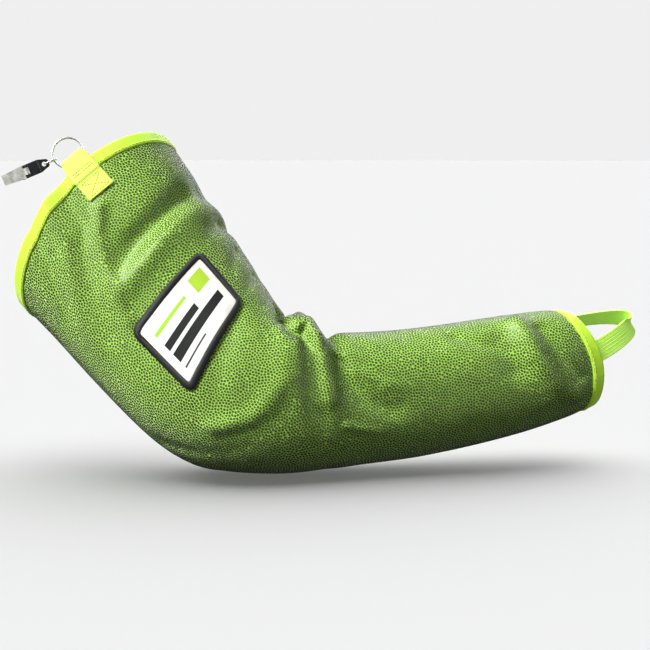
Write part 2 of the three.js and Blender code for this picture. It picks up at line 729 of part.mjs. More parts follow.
function makeBase() {
  const lugInner = KNUCKLE_LENGTH / 2 + CLEARANCE
  const lugs = [-1, 1].map((sense) => {
    const lug = toSolid(sideProfile(boredRound(), LUG_THICKNESS))
    const foot = topProfile(
      polygon([
        [-KNUCKLE_RADIUS, -LUG_THICKNESS / 2],
        [KNUCKLE_RADIUS, -LUG_THICKNESS / 2],
        [KNUCKLE_RADIUS, LUG_THICKNESS / 2],
        [-KNUCKLE_RADIUS, LUG_THICKNESS / 2],
      ]),
      BASE_TOP - CLIP_BASE_THICKNESS / 2,
      -(PIN_DIAMETER / 2 + CLEARANCE),
    )
    const whole = lug.add(toSolid(foot))
    return whole.translate([0, sense * (lugInner + LUG_THICKNESS / 2), 0])
  })
  const half = CLIP_BASE_WIDTH / 2
  const nose = CLIP_NOSE_WIDTH / 2
  const rear = EYE_PLACE - EYE_DIAMETER / 2 - EYE_EDGE
  const shoulder = EYE_PLACE + EYE_DIAMETER / 2 + EYE_EDGE
  const outline = polygon([
    [rear, -nose + EYE_EDGE / 2],
    [rear + EYE_EDGE / 2, -nose],
    [shoulder, -half],
    [CLIP_NOSE_LENGTH, -half],
    [CLIP_NOSE_LENGTH, half],
    [shoulder, half],
    [rear + EYE_EDGE / 2, nose],
    [rear, nose - EYE_EDGE / 2],
  ])
  roundHole(outline, EYE_PLACE, 0, EYE_DIAMETER / 2)
  const tongue = polygon([
    [KNUCKLE_RADIUS + CLEARANCE, -half],
    [CLIP_NOSE_LENGTH, -half],
    [CLIP_NOSE_LENGTH, half],
    [KNUCKLE_RADIUS + CLEARANCE, half],
  ])
  const plate = toSolid(topProfile(outline, BASE_BOTTOM, BASE_TOP))
  const seat = toSolid(topProfile(tongue, BASE_TOP - CLIP_BASE_THICKNESS / 2, LOWER_JAW_LOW - CLEARANCE))
  return toGeometry(plate.add(seat).add(lugs[0]).add(lugs[1]))
}

const LOWER_JAW_LOW = -CLEARANCE / 2 - JAW_THICKNESS

function makePin() {
  const length = KNUCKLE_LENGTH + 2 * (CLEARANCE + LUG_THICKNESS) + PIN_DIAMETER / 2
  return new THREE.CylinderGeometry(PIN_DIAMETER / 2, PIN_DIAMETER / 2, length, 12)
}

function placeClip() {
  const reach = LINK_LENGTH - LINK_BEHIND - LINK_WIRE / 2 - LINK_PLAY + EYE_DIAMETER / 2
  const eye = linkStart.point.clone().addScaledVector(LINK_AXIS, reach)
  const across = new THREE.Vector3().crossVectors(LINK_FACE, LINK_AXIS)
  const turn = new THREE.Matrix4().makeBasis(LINK_AXIS, across, LINK_FACE)
  clip.quaternion.setFromRotationMatrix(turn)
  const eyeInClip = new THREE.Vector3(EYE_PLACE, 0, (BASE_TOP + BASE_BOTTOM) / 2)
  clip.position.copy(eye).sub(eyeInClip.applyQuaternion(clip.quaternion))
}

// The label patch: a plain field inside a raised, stitched border.
const labelPlace = { s: fromShare(LABEL_PLACE.along), angle: LABEL_PLACE.angle }
const labelFrame = skinFrame(labelPlace.s, labelPlace.angle)
const labelAlong = labelFrame.alongSlope.clone().normalize()
const labelRound = new THREE.Vector3().crossVectors(labelFrame.normal, labelAlong).normalize()
const labelTurn = radians(LABEL_PLACE.turn)
const labelRight = labelRound.clone().multiplyScalar(Math.cos(labelTurn))
labelRight.addScaledVector(labelAlong, Math.sin(labelTurn))
const labelUp = labelAlong.clone().multiplyScalar(Math.cos(labelTurn))
labelUp.addScaledVector(labelRound, -Math.sin(labelTurn))
const layLabel = layOn(labelPlace, labelRight, labelUp)

// A rectangle with round corners, inset from the label's outline, as evenly spaced points.
function labelOutline(inset) {
  const corner = Math.max(LABEL_CORNER - inset, 0.5)
  const x = LABEL_LENGTH / 2 - inset - corner
  const y = LABEL_WIDTH / 2 - inset - corner
  const outline = []
  const centres = [[x, y, 0], [-x, y, 90], [-x, -y, 180], [x, -y, 270]]
  const corners = 3
  const edges = [6, 4, 6, 4]
  centres.forEach(([cx, cy, start], k) => {
    const [nx, ny] = centres[(k + 1) % 4]
    for (let i = 0; i <= corners; i += 1) {
      const turn = radians(start + 90 * i / corners)
      outline.push([cx + corner * Math.cos(turn), cy + corner * Math.sin(turn)])
    }
    const turn = radians(start + 90)
    for (let i = 1; i < edges[k]; i += 1) {
      const t = i / edges[k]
      outline.push([lerp(cx, nx, t) + corner * Math.cos(turn), lerp(cy, ny, t) + corner * Math.sin(turn)])
    }
  })
  return outline
}

// The patch is a little wider towards the point of the elbow, and leans with the cloth.
function onLabel(x, y, height) {
  const { s, angle } = layLabel(x - LABEL_SKEW * y, y * (1 - LABEL_TAPER * x / (LABEL_LENGTH / 2)))
  return raised(s, angle, LABEL_GAP + height)
}

function makeLabelField() {
  const outline = labelOutline(LABEL_BORDER + CLEARANCE)
  const steps = 4
  const ring = (share, height) => outline.map(([x, y]) => onLabel(x * share, y * share, height))
  const rings = (height) => Array.from({ length: steps }, (_, k) => ring((k + 1) / steps, height))
  return plateBody(rings(LABEL_THICKNESS), rings(0), onLabel(0, 0, LABEL_THICKNESS), onLabel(0, 0, 0))
}

function makeLabelBorder() {
  const section = [
    { inset: 0, height: 0.25 },
    { inset: 0.2, height: 0.8 },
    { inset: 0.5, height: 1 },
    { inset: 0.8, height: 0.8 },
    { inset: 1, height: 0 },
    { inset: 0.1, height: 0 },
  ]
  const outlines = section.map(({ inset }) => labelOutline(inset * LABEL_BORDER))
  const rings = outlines[0].map((_, i) =>
    section.map(({ height }, j) => onLabel(...outlines[j][i], height * BORDER_THICKNESS)))
  return loopBody(rings)
}

// The turn round a rim that covers half of a band's width.
function bandTurn(rim, angle, width) {
  const { point, along } = rimFrame(rim, angle)
  const degree = 1
  const arc = skin(rimPlace(rim, angle + degree), angle + degree).sub(point).dot(along)
  return width / 2 / arc * degree
}

// How far inside the rim a flat band lies at its middle, clear of the tape at its edges.
function bandSeat(rim, angle) {
  const turn = bandTurn(rim, angle, LOOP_WIDTH)
  const sag = chordSag(rim, angle, turn) + chordSag(rim, angle, FACET_TURN)
  return -(WALL + TAPE_TOP + CLEARANCE * 4 + sag + LOOP_THICKNESS / 2)
}

// The thumb loop: a band of elastic from inside the front of the wrist rim round to its back.
function makeThumbLoop() {
  const front = rimFrame(RIMS.wrist, LOOP_FRONT_ANGLE)
  const back = rimFrame(RIMS.wrist, LOOP_BACK_ANGLE)
  const start = front.point.clone().addScaledVector(front.normal, bandSeat(RIMS.wrist, LOOP_FRONT_ANGLE))
  const end = back.point.clone().addScaledVector(back.normal, bandSeat(RIMS.wrist, LOOP_BACK_ANGLE))
  const handle = LOOP_REACH * 4 / 3
  const lift = new THREE.Vector3(0, 0, LOOP_LIFT * 4 / 3)
  const startHandle = start.clone().addScaledVector(front.out, handle).add(lift)
  const endHandle = end.clone().addScaledVector(back.out, handle).add(lift)
  const arch = new THREE.CubicBezierCurve3(start, startHandle, endHandle, end)
  const rings = []
  const addRing = (point, ahead, across) => {
    const width = across.clone().addScaledVector(ahead, -across.dot(ahead)).setLength(LOOP_WIDTH / 2)
    const off = new THREE.Vector3().crossVectors(width, ahead).setLength(LOOP_THICKNESS / 2)
    rings.push([
      point.clone().add(width).add(off),
      point.clone().sub(width).add(off),
      point.clone().sub(width).sub(off),
      point.clone().add(width).sub(off),
    ])
  }
  const acrossEnd = back.along.clone().negate()
  addRing(start.clone().addScaledVector(front.out, -LOOP_TUCK), front.out, front.along)
  const steps = 22
  for (let i = 0; i <= steps; i += 1) {
    const t = i / steps
    const across = front.along.clone().lerp(acrossEnd, smooth(t))
    addRing(arch.getPoint(t), arch.getTangent(t), across)
  }
  addRing(end.clone().addScaledVector(back.out, -LOOP_TUCK), back.out.clone().negate(), acrossEnd)
  return stripBody(rings)
}

const sleeve = new THREE.Group()
sleeve.add(named("sleeve_body", makeSleeve(), "cloth"))
sleeve.add(named("arm_binding", makeBinding(RIMS.arm), "tape"))
sleeve.add(named("wrist_binding", makeBinding(RIMS.wrist), "tape"))
sleeve.add(named("thumb_loop", makeThumbLoop(), "elastic"))
sleeve.add(named("label_field", makeLabelField(), "label"))
sleeve.add(named("label_border", makeLabelBorder(), "border"))
sleeve.add(named("clip_tab", makeTab(), "webbing"))
sleeve.add(named("split_ring", makeRing(), "steel"))
sleeve.add(named("clip_link", makeLink(), "steel"))

placeClip()
clip.add(named("clip_base", makeBase(), "plastic"))
clip.add(named("clip_lower_jaw", jawPlate(JAW_START, LOWER_JAW_LOW), "satin"))
clip.add(named("clip_upper_jaw", makeUpperJaw(), "satin"))
clip.add(named("clip_lever_pad", makePad(), "plastic"))
clip.add(named("clip_pin", makePin(), "satin"))
sleeve.add(clip)

export default sleeve
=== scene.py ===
"""A cut resistant work sleeve in its worn form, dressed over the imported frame.

Lengths are in millimetres until a piece is made, and metres from there on. Angles round the
sleeve are 0 in the crook of the elbow, -90 at the front, 90 at the back and 180 on its point.
"""

import json
import math

import bmesh
import bpy
import numpy as np
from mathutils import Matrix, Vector
from mathutils.kdtree import KDTree

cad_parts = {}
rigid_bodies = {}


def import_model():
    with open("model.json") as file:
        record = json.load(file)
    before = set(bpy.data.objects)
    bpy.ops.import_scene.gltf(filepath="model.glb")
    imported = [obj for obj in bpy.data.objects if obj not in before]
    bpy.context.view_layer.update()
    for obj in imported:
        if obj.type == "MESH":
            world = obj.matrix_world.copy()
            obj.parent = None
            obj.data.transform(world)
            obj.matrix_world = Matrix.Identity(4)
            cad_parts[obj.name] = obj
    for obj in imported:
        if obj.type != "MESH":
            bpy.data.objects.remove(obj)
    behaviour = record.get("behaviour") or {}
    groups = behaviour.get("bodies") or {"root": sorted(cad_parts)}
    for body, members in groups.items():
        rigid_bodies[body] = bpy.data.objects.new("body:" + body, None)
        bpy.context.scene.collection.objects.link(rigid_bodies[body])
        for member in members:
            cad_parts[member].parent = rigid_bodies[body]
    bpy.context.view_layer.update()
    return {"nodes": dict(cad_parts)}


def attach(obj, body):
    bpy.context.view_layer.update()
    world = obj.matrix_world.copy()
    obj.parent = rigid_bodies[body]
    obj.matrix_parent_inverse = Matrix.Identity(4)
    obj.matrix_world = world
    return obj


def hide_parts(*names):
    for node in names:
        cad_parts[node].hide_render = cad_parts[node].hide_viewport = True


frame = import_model()
rng = np.random.default_rng(7)

MM = 0.001

# Sizes of the sleeve, as in the frame.
UPPER_LENGTH = 203
FOREARM_LENGTH = 283
ARM_WIDTH = 182
ARM_DEPTH = 128
ELBOW_WIDTH = 150
ELBOW_DEPTH = 112
FOREARM_WIDTH = 106
FOREARM_DEPTH = 84
WRIST_WIDTH = 82
WRIST_DEPTH = 60
WALL = 1.6
UPPER_FALL = 48.7
ELBOW_FALL = -3.6
WRIST_FALL = -10.9
UPPER_TURN = -18
FOREARM_TURN = 12
CROOK_RADIUS = 20
BEND_LENGTH = 1.5 * math.radians(UPPER_FALL - ELBOW_FALL) * (ELBOW_WIDTH / 2 + CROOK_RADIUS)
SQUARENESS = 2.35
LINE_REACH = 340

# Rims: side, length, slant, bow.
ARM_RIM = (-1, UPPER_LENGTH, 17, 21)
WRIST_RIM = (1, FOREARM_LENGTH, -2.5, 11)

# Half sizes by place along the sleeve: crook, point and side as shares of width and depth.
ARM = (ARM_WIDTH, ARM_DEPTH)
ELBOW = (ELBOW_WIDTH, ELBOW_DEPTH)
FOREARM = (FOREARM_WIDTH, FOREARM_DEPTH)
SECTIONS = [
    (-1.0, *ARM, 0.505, 0.5, 0.5),
    (-0.75, *ARM, 0.48, 0.47, 0.49),
    (-0.5, *ELBOW, 0.542, 0.548, 0.535),
    (-0.25, *ELBOW, 0.5, 0.515, 0.515),
    (-0.06, *ELBOW, 0.492, 0.47, 0.5),
    (0.06, *ELBOW, 0.5, 0.382, 0.49),
    (0.17, *ELBOW, 0.5, 0.35, 0.46),
    (0.235, *FOREARM, 0.565, 0.5, 0.56),
    (0.3, *FOREARM, 0.532, 0.5, 0.54),
    (0.48, *FOREARM, 0.495, 0.509, 0.51),
    (0.76, *FOREARM, 0.472, 0.475, 0.475),
    (0.93, *FOREARM, 0.44, 0.425, 0.42),
    (1.0, WRIST_WIDTH, WRIST_DEPTH, 0.5, 0.5, 0.5),
]

# Folds: path as place and angle of each of its points, width and lift as shares of the elbow's
# width, share left at the path's end, share on the back. FOLDS are the frame's, FINE_FOLDS the
# wrinkles beside them.
FOLDS = [
    ([-0.8, -5, -0.725, -75], 0.085, -0.034, 0.6, 0.5),
    ([-0.695, -12, -0.63, -90], 0.09, 0.022, 0.7, 0.5),
    ([-0.64, 0, -0.61, -28], 0.05, -0.045, 0.3, 0.8),
    ([-0.13, 0, 0.03, -24, 0.12, -42, 0.155, -114], 0.055, -0.06, 0.15, 0.8),
    ([0.16, -20, 0.188, -80], 0.055, 0.028, 0.6, 0.7),
    ([0.238, 0, 0.245, -44, 0.35, -68], 0.045, -0.052, 0.2, 0.8),
    ([0.23, -62, 0.38, -93], 0.09, -0.022, 0.8, 0.6),
    ([0.73, -48, 0.765, -78], 0.09, -0.022, 1, 0.4),
    ([0.835, -35, 0.87, -115], 0.09, 0.016, 1, 0.4),
]
FINE_FOLDS = [
    ([-0.05, -2, 0.06, -22, 0.1, -36], 0.022, -0.022, 0.2, 0.9),
    ([0.12, -32, 0.166, -50, 0.17, -74, 0.185, -104], 0.036, -0.056, 0.1, 0.6),
    ([0.085, -26, 0.102, -54, 0.112, -75, 0.15, -112], 0.038, 0.03, 0.15, 0.6),
    ([0.2, -36, 0.218, -54, 0.214, -80], 0.028, 0.02, 0.2, 0.7),
    ([0.235, -44, 0.262, -62, 0.3, -84, 0.36, -97], 0.055, -0.038, 0.15, 0.6),
    ([0.25, -40, 0.29, -57, 0.335, -66, 0.44, -80], 0.036, 0.03, 0.02, 0.7),
    ([0.24, -103, 0.33, -112], 0.035, 0.012, 0.5, 0.5),
    ([-0.06, -112, 0.012, -97, 0.07, -66, 0.05, -46, -0.03, -30], 0.045, 0.02, 0.5, 0.5),
    ([-0.24, -50, -0.17, -70, -0.09, -96], 0.05, -0.014, 0.5, 0.5),
    ([-0.79, -28, -0.752, -50, -0.735, -72, -0.69, -86], 0.06, -0.034, 0.4, 0.5),
    ([-0.74, -25, -0.69, -53, -0.635, -76, -0.6, -96], 0.055, 0.022, 0.4, 0.5),
    ([-0.93, -76, -0.84, -85, -0.67, -95, -0.5, -102], 0.036, 0.024, 0.5, 0.5),
    ([-1.12, -84, -0.92, -89, -0.85, -96, -0.69, -108, -0.5, -118], 0.038, -0.018, 0.3, 0.5),
    ([-1.12, -95, -0.92, -101, -0.84, -107, -0.7, -119, -0.5, -130], 0.036, 0.02, 0.3, 0.5),
    ([-1.12, -109, -0.92, -115, -0.82, -122, -0.68, -132], 0.032, -0.016, 0.3, 0.5),
    ([-0.5, -12, -0.42, -34], 0.03, -0.012, 0.3, 0.7),
    ([-0.38, -8, -0.31, -36], 0.03, -0.012, 0.2, 0.7),
    ([0.33, -22, 0.42, -60], 0.03, 0.008, 0.3, 0.6),
    ([0.45, -20, 0.54, -44], 0.05, -0.008, 0.5, 0.6),
    ([0.61, -36, 0.672, -49, 0.74, -58], 0.05, -0.022, 0.3, 0.4),
    ([0.8, -28, 0.83, -73, 0.891, -102, 0.94, -122], 0.06, 0.034, 0.7, 0.4),
    ([0.87, -44, 0.915, -80, 0.955, -102], 0.055, -0.022, 0.6, 0.4),
    ([-0.15, -150, 0.02, -120], 0.05, -0.01, 0.4, 0.8),
    ([0.5, -150, 0.62, -120], 0.05, -0.008, 0.4, 0.8),
]


def smooth(t):
    x = np.clip(t, 0, 1)
    return x * x * (3 - 2 * x)


def mix(a, b, t):
    return a + (b - a) * t


def unit(v):
    return v / np.linalg.norm(v, axis=-1, keepdims=True)


def times(amount, vector):
    return np.asarray(amount)[..., None] * vector


def from_share(share):
    return np.where(np.asarray(share) < 0, share * UPPER_LENGTH, share * FOREARM_LENGTH)


def direction_at(s):
    bend = smooth((s + BEND_LENGTH / 2) / BEND_LENGTH)
    rise = (WRIST_FALL - ELBOW_FALL) * np.clip(s / FOREARM_LENGTH, 0, 1)
    fall = np.radians(mix(UPPER_FALL, ELBOW_FALL, bend) + rise)
    turn = np.radians(mix(UPPER_TURN, FOREARM_TURN, bend))
    along = np.stack([np.cos(fall) * np.cos(turn), np.sin(turn), -np.sin(fall) * np.cos(turn)], -1)
    crook = np.stack([np.sin(fall), 0 * fall, np.cos(fall)], -1)
    return along, crook, np.cross(crook, along)


def follow_line():
    steps = np.arange(LINE_REACH) + 0.5
    ahead = np.cumsum(direction_at(steps)[0], 0)
    behind = -np.cumsum(direction_at(-steps)[0], 0)
    return np.arange(-LINE_REACH, LINE_REACH + 1), np.vstack([behind[::-1], [[0, 0, 0]], ahead])


LINE_PLACES, LINE_POINTS = follow_line()


def line_at(s):
    return np.stack([np.interp(s, LINE_PLACES, LINE_POINTS[:, k]) for k in range(3)], -1)


def section_sizes(share):
    """Half sizes to the crook, the point and the sides: a smooth curve, straight past the rims."""
    rows = np.array(SECTIONS)
    places = rows[:, 0]
    sizes = np.stack([rows[:, 1] * rows[:, 3], rows[:, 1] * rows[:, 4], rows[:, 2] * rows[:, 5]], 1)
    low = np.maximum(np.arange(len(rows)) - 1, 0)
    high = np.minimum(np.arange(len(rows)) + 1, len(rows) - 1)
    slopes = (sizes[high] - sizes[low]) / (places[high] - places[low])[:, None]
    x = np.clip(share, -1, 1)
    i = np.clip(np.searchsorted(places, x, "left") - 1, 0, len(rows) - 2)
    gap = (places[i + 1] - places[i])[..., None]
    t = (x[..., None] - places[i][..., None]) / gap
    start = (2 * t - 3) * t * t + 1
    ends = start * sizes[i] + (1 - start) * sizes[i + 1]
    bends = gap * (((t - 2) * t + 1) * t * slopes[i] + (t - 1) * t * t * slopes[i + 1])
    beyond = (share - x)[..., None] * np.where((x > 0)[..., None], slopes[-1], slopes[0])
    return ends + bends + beyond


def fold_lift(s, angle):
    """How far the folds lift the cloth."""
    turned = (angle + 180) % 360 - 180
    frontness = smooth((15 - turned) / 30)
    bend = np.clip((s + BEND_LENGTH / 2) / BEND_LENGTH, 0, 1)
    curve = 6 * bend * (1 - bend) * math.radians(UPPER_FALL - ELBOW_FALL) / BEND_LENGTH
    stretch = 1 - curve * np.cos(np.radians(turned)) * ELBOW_WIDTH / 2
    degree = math.radians(1) * ELBOW_WIDTH / 2
    across = -np.abs(turned) * degree
    lift = np.zeros_like(s)
    for path, width, height, end, back in FOLDS + FINE_FOLDS:
        places = list(zip(from_share(np.array(path[::2])), np.array(path[1::2]) * degree))
        nearest = np.full_like(s, np.inf)
        progress = np.zeros_like(s)
        for k in range(len(places) - 1):
            (x0, y0), (x1, y1) = places[k], places[k + 1]
            run = (x1 - x0) ** 2 + (y1 - y0) ** 2
            t = np.clip(((s - x0) * (x1 - x0) + (across - y0) * (y1 - y0)) / run, 0, 1)
            distance = np.hypot((x0 + (x1 - x0) * t - s) * stretch, y0 + (y1 - y0) * t - across)
            closer = distance < nearest
            nearest = np.where(closer, distance, nearest)
            progress = np.where(closer, (k + t) / (len(places) - 1), progress)
        fade = np.exp(-((nearest / (width * ELBOW_WIDTH)) ** 2))
        lift += height * ELBOW_WIDTH * mix(1, end, progress) * mix(back, 1, frontness) * fade
    return lift


def skin(s, angle):
    """The outer face of the cloth, in millimetres."""
    s, angle = np.broadcast_arrays(np.asarray(s, float), np.asarray(angle, float))
    share = np.where(s < 0, s / UPPER_LENGTH, s / FOREARM_LENGTH)
    c = np.cos(np.radians(angle))
    q = np.sin(np.radians(angle))
    reach = (np.abs(c) ** SQUARENESS + np.abs(q) ** SQUARENESS) ** (-1 / SQUARENESS)
    sizes = section_sizes(share)
    half = np.where(c > 0, sizes[..., 0], sizes[..., 1])
    side = sizes[..., 2]
    _, crook, back = direction_at(s)
    outward = unit(times(c / half, crook) + times(q / side, back))
    point = line_at(s) + times(reach * c * half, crook) + times(reach * q * side, back)
    return point + times(fold_lift(s, angle), outward)


def skin_frame(s, angle):
    """The face with its two slopes and its normal."""
    step = 0.5
    s, angle = np.broadcast_arrays(np.asarray(s, float), np.asarray(angle, float))
    along = (skin(s + step, angle) - skin(s - step, angle)) / (2 * step)
    around = (skin(s, angle + step) - skin(s, angle - step)) / (2 * step)
    return skin(s, angle), along, around, unit(np.cross(along, around))


def raised(s, angle, height):
    point, _, _, normal = skin_frame(s, angle)
    return point + times(np.broadcast_to(height, point.shape[:-1]), normal)


def rim_place(rim, angle):
    side, length, slant, bow = rim
    turn = np.radians(angle)
    return side * (length + slant * np.cos(turn) + bow * np.sin(turn) ** 2)


def on_rim(rim, angle):
    return skin(rim_place(rim, angle), angle)


def rim_frame(rim, angle):
    """A rim's point, the way along it, out of the sleeve, and away from the cloth."""
    place = rim_place(rim, angle)
    point, _, _, normal = skin_frame(place, angle)
    along = unit(on_rim(rim, angle + 0.5) - on_rim(rim, angle - 0.5))
    return point, along, unit(np.cross(along, normal)) * rim[0], normal


def station_place(share, angle):
    """Stations lean with the rims: fully at a rim, not at all at the elbow."""
    drift_arm = rim_place(ARM_RIM, angle) + UPPER_LENGTH
    drift_wrist = rim_place(WRIST_RIM, angle) - FOREARM_LENGTH
    drift = np.where(share < 0, drift_arm, drift_wrist)
    return from_share(share) + drift * smooth((np.abs(share) - 0.4) / 0.6)


STRIDES = 10


def lay_on(s0, angle0, right, up, x, y):
    """Where points of a flat patch come to lie: a straight walk over the cloth from its middle."""
    s = np.full(np.shape(x), float(s0))
    angle = np.full(np.shape(x), float(angle0))
    direction = times(x, right) + times(y, up)
    stride = np.linalg.norm(direction, axis=-1) / STRIDES
    for _ in range(STRIDES):
        _, along, around, normal = skin_frame(s, angle)
        direction = direction - times((direction * normal).sum(-1), normal)
        size = np.linalg.norm(direction, axis=-1)
        direction = direction * (stride / np.maximum(size, 1e-9))[..., None]
        ds, da = walk(direction, along, around)
        s = s + ds
        angle = angle + da
    return s, angle


def walk(direction, along, around):
    """A small step over the face, as changes of place and angle."""
    aa = (along * along).sum(-1)
    rr = (around * around).sum(-1)
    ar = (along * around).sum(-1)
    da = (direction * along).sum(-1)
    dr = (direction * around).sum(-1)
    area = aa * rr - ar * ar
    return (da * rr - dr * ar) / area, (dr * aa - da * ar) / area


# Making pieces.
def add_object(name, data):
    made = bpy.data.objects.new(name, data)
    bpy.context.scene.collection.objects.link(made)
    return made


def make_piece(
    name, points, faces, material, slot, node=None, uv=None, layer="cloth", shade=True
):
    """A mesh object from points in millimetres and lists of faces, in place of a node."""
    mesh = bpy.data.meshes.new(name)
    mesh.from_pydata((np.asarray(points) * MM).tolist(), [], faces)
    mesh.update()
    if uv is not None:
        corners = np.zeros(len(mesh.loops), int)
        mesh.loops.foreach_get("vertex_index", corners)
        spots = uv[corners].astype(np.float32).ravel()
        mesh.uv_layers.new(name=layer).uv.foreach_set("vector", spots)
    mesh.polygons.foreach_set("use_smooth", np.full(len(mesh.polygons), shade))
    mesh.materials.append(material)
    piece = add_object(name, mesh)
    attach(piece, "sleeve")
    if node is not None:
        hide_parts(node)
    return piece


def face_out(piece):
    """Turns a closed mesh's faces outwards."""
    bm = bmesh.new()
    bm.from_mesh(piece.data)
    bmesh.ops.recalc_face_normals(bm, faces=bm.faces)
    bm.to_mesh(piece.data)
    bm.free()
    return piece


def sweep(rings, closed):
    """Points and quads of closed sections swept along a line, with flat ends if it is open."""
    count, n = len(rings), len(rings[0])
    points = np.concatenate(rings)
    i, j = np.meshgrid(np.arange(count if closed else count - 1), np.arange(n), indexing="ij")
    nxt = (i + 1) % count
    k = (j + 1) % n
    quads = np.stack([i * n + j, i * n + k, nxt * n + k, nxt * n + j], -1).reshape(-1, 4).tolist()
    if not closed:
        quads.append(list(range(n))[::-1])
        quads.append(list(range((count - 1) * n, count * n)))
    return points, quads


def tube(line, radius, sides, closed=False, normal=(0.31, 0.42, 0.85)):
    """A round wire or thread along a line of points."""
    line = np.asarray(line, float)
    if closed:
        ahead = np.roll(line, -1, 0) - np.roll(line, 1, 0)
    else:
        ahead = np.gradient(line, axis=0)
    ahead = unit(ahead)
    across = unit(np.cross(ahead, np.broadcast_to(normal, ahead.shape)))
    up = np.cross(across, ahead)
    turn = (np.arange(sides) * 2 * np.pi / sides)[:, None]
    rings = line[:, None] + radius * (np.cos(turn) * across[:, None] + np.sin(turn) * up[:, None])
    return sweep(list(rings), closed)


def threads(lines, radius):
    """Short threads along several lines, as one set of points and faces."""
    return gather([tube(line, radius, 5) for line in lines])


def reach_along(points):
    """How far along a line each of its points is."""
    return np.concatenate([[0], np.cumsum(np.linalg.norm(np.diff(points, axis=0), axis=1))])


def band_map(across, along):
    """Flat places for a swept band."""
    return np.stack(np.broadcast_arrays(across, along), -1).reshape(-1, 2)


def gather(parts):
    """Joins several (points, faces) into one."""
    points, faces, start = [], [], 0
    for p, f in parts:
        points.append(np.asarray(p))
        faces.extend([[v + start for v in face] for face in f])
        start += len(p)
    return np.concatenate(points), faces


# Materials.
def linear(r, g, b):
    """A colour given as it looks on a screen, 0 to 255."""
    x = np.array([r, g, b]) / 255
    low = x / 12.92
    high = ((x + 0.055) / 1.055) ** 2.4
    return (*np.where(x <= 0.04045, low, high), 1)


def fill(node, **values):
    """Sets a node's inputs by their names."""
    for name, value in values.items():
        node.inputs[name.replace("_", " ")].default_value = value


class Look:
    """A material under construction: a Principled shader with textures set against it."""

    def __init__(self, name, colour, roughness, **sockets):
        self.material = bpy.data.materials.new(name)
        self.material.use_nodes = True
        self.tree = self.material.node_tree
        self.shader = self.tree.nodes["Principled BSDF"]
        fill(self.shader, Base_Color=linear(*colour), Roughness=roughness, **sockets)
        self.place = self.node("ShaderNodeTexCoord").outputs["Object"]

    def node(self, kind, **settings):
        made = self.tree.nodes.new(kind)
        for name, value in settings.items():
            setattr(made, name, value)
        return made

    def link(self, a, b):
        self.tree.links.new(a, b)

    def noise(self, scale, detail=2.0, stretch=None, place=None):
        made = self.node("ShaderNodeTexNoise")
        fill(made, Scale=scale, Detail=detail)
        place = place or self.place
        if stretch is not None:
            bend = self.node("ShaderNodeMapping")
            fill(bend, Scale=stretch)
            self.link(place, bend.inputs["Vector"])
            place = bend.outputs["Vector"]
        self.link(place, made.inputs["Vector"])
        return made.outputs["Fac"]

    def math(self, operation, a, b=None, c=None):
        made = self.node("ShaderNodeMath", operation=operation)
        for socket, value in zip(made.inputs, (a, b, c)):
            if value is None:
                continue
            if isinstance(value, (int, float)):
                socket.default_value = value
            else:
                self.link(value, socket)
        return made.outputs[0]

    def spread(self, value, low, high, new_low, new_high):
        made = self.node("ShaderNodeMapRange")
        self.link(value, made.inputs["Value"])
        fill(made, From_Min=low, From_Max=high, To_Min=new_low, To_Max=new_high)
        return made.outputs["Result"]

    def tint(self, factor, first, second):
        """Colour between two, by a factor."""
        made = self.node("ShaderNodeMix", data_type="RGBA")
        self.link(factor, made.inputs[0])
        for socket, colour in ((made.inputs[6], first), (made.inputs[7], second)):
            if isinstance(colour, tuple):
                socket.default_value = linear(*colour)
            else:
                self.link(colour, socket)
        return made.outputs[2]

    def paint(self, colour):
        self.link(colour, self.shader.inputs["Base Color"])

    def shade(self, value, low, high, first, second):
        """Paints it from one colour to another as a value goes from low to high."""
        self.paint(self.tint(self.spread(value, low, high, 0, 1), first, second))

    def roughen(self, value):
        self.link(value, self.shader.inputs["Roughness"])

    def glow(self, colour, strength):
        fill(self.shader, Emission_Color=colour, Emission_Strength=strength)

    def emboss(self, height, strength, distance):
        bump = self.node("ShaderNodeBump")
        fill(bump, Strength=strength, Distance=distance)
        self.link(height, bump.inputs["Height"])
        self.link(bump.outputs["Normal"], self.shader.inputs["Normal"])

    def map_place(self, name="cloth"):
        """The flat place on the cloth, in millimetres, split into across and along."""
        made = self.node("ShaderNodeUVMap", uv_map=name)
        parts = self.node("ShaderNodeSeparateXYZ")
        self.link(made.outputs["UV"], parts.inputs["Vector"])
        return made.outputs["UV"], parts.outputs["X"], parts.outputs["Y"]

    def waves(self, value, pitch, phase=0.0):
        """0 to 1 ripples of the given pitch."""
        turned = self.math("MULTIPLY_ADD", value, 2 * math.pi / pitch, phase)
        return self.math("MULTIPLY_ADD", self.math("SINE", turned), 0.5, 0.5)


def knit_look(name, deep, bright, roughness=0.72, pitch=0.9):
    """Plain knit: columns of small loops, a little uneven."""
    gloss = {"Specular_IOR_Level": 0.15, "Sheen_Weight": 0.45, "Sheen_Roughness": 0.3}
    look = Look(name, bright, roughness, **gloss)
    _, u, v = look.map_place()
    column = look.waves(u, pitch)
    off_middle = look.math("ABSOLUTE", look.math("SUBTRACT", column, 0.5))
    row = look.waves(look.math("MULTIPLY_ADD", off_middle, 0.9, v), pitch * 0.8)
    loops = look.math("MULTIPLY", look.math("ADD", column, 0.35), look.math("ADD", row, 0.3))
    uneven = look.noise(38, 3)
    height = look.math("MULTIPLY_ADD", uneven, 0.4, loops)
    # Darker where the loops are low: painted shade in the gaps between them, matching the bump,
    # with the noise adding random tone.
    look.shade(height, 0.1, 1.5, deep, bright)
    look.roughen(look.spread(uneven, 0.3, 0.7, roughness - 0.08, roughness + 0.1))
    look.emboss(height, 0.7, 0.0003)
    return look.material


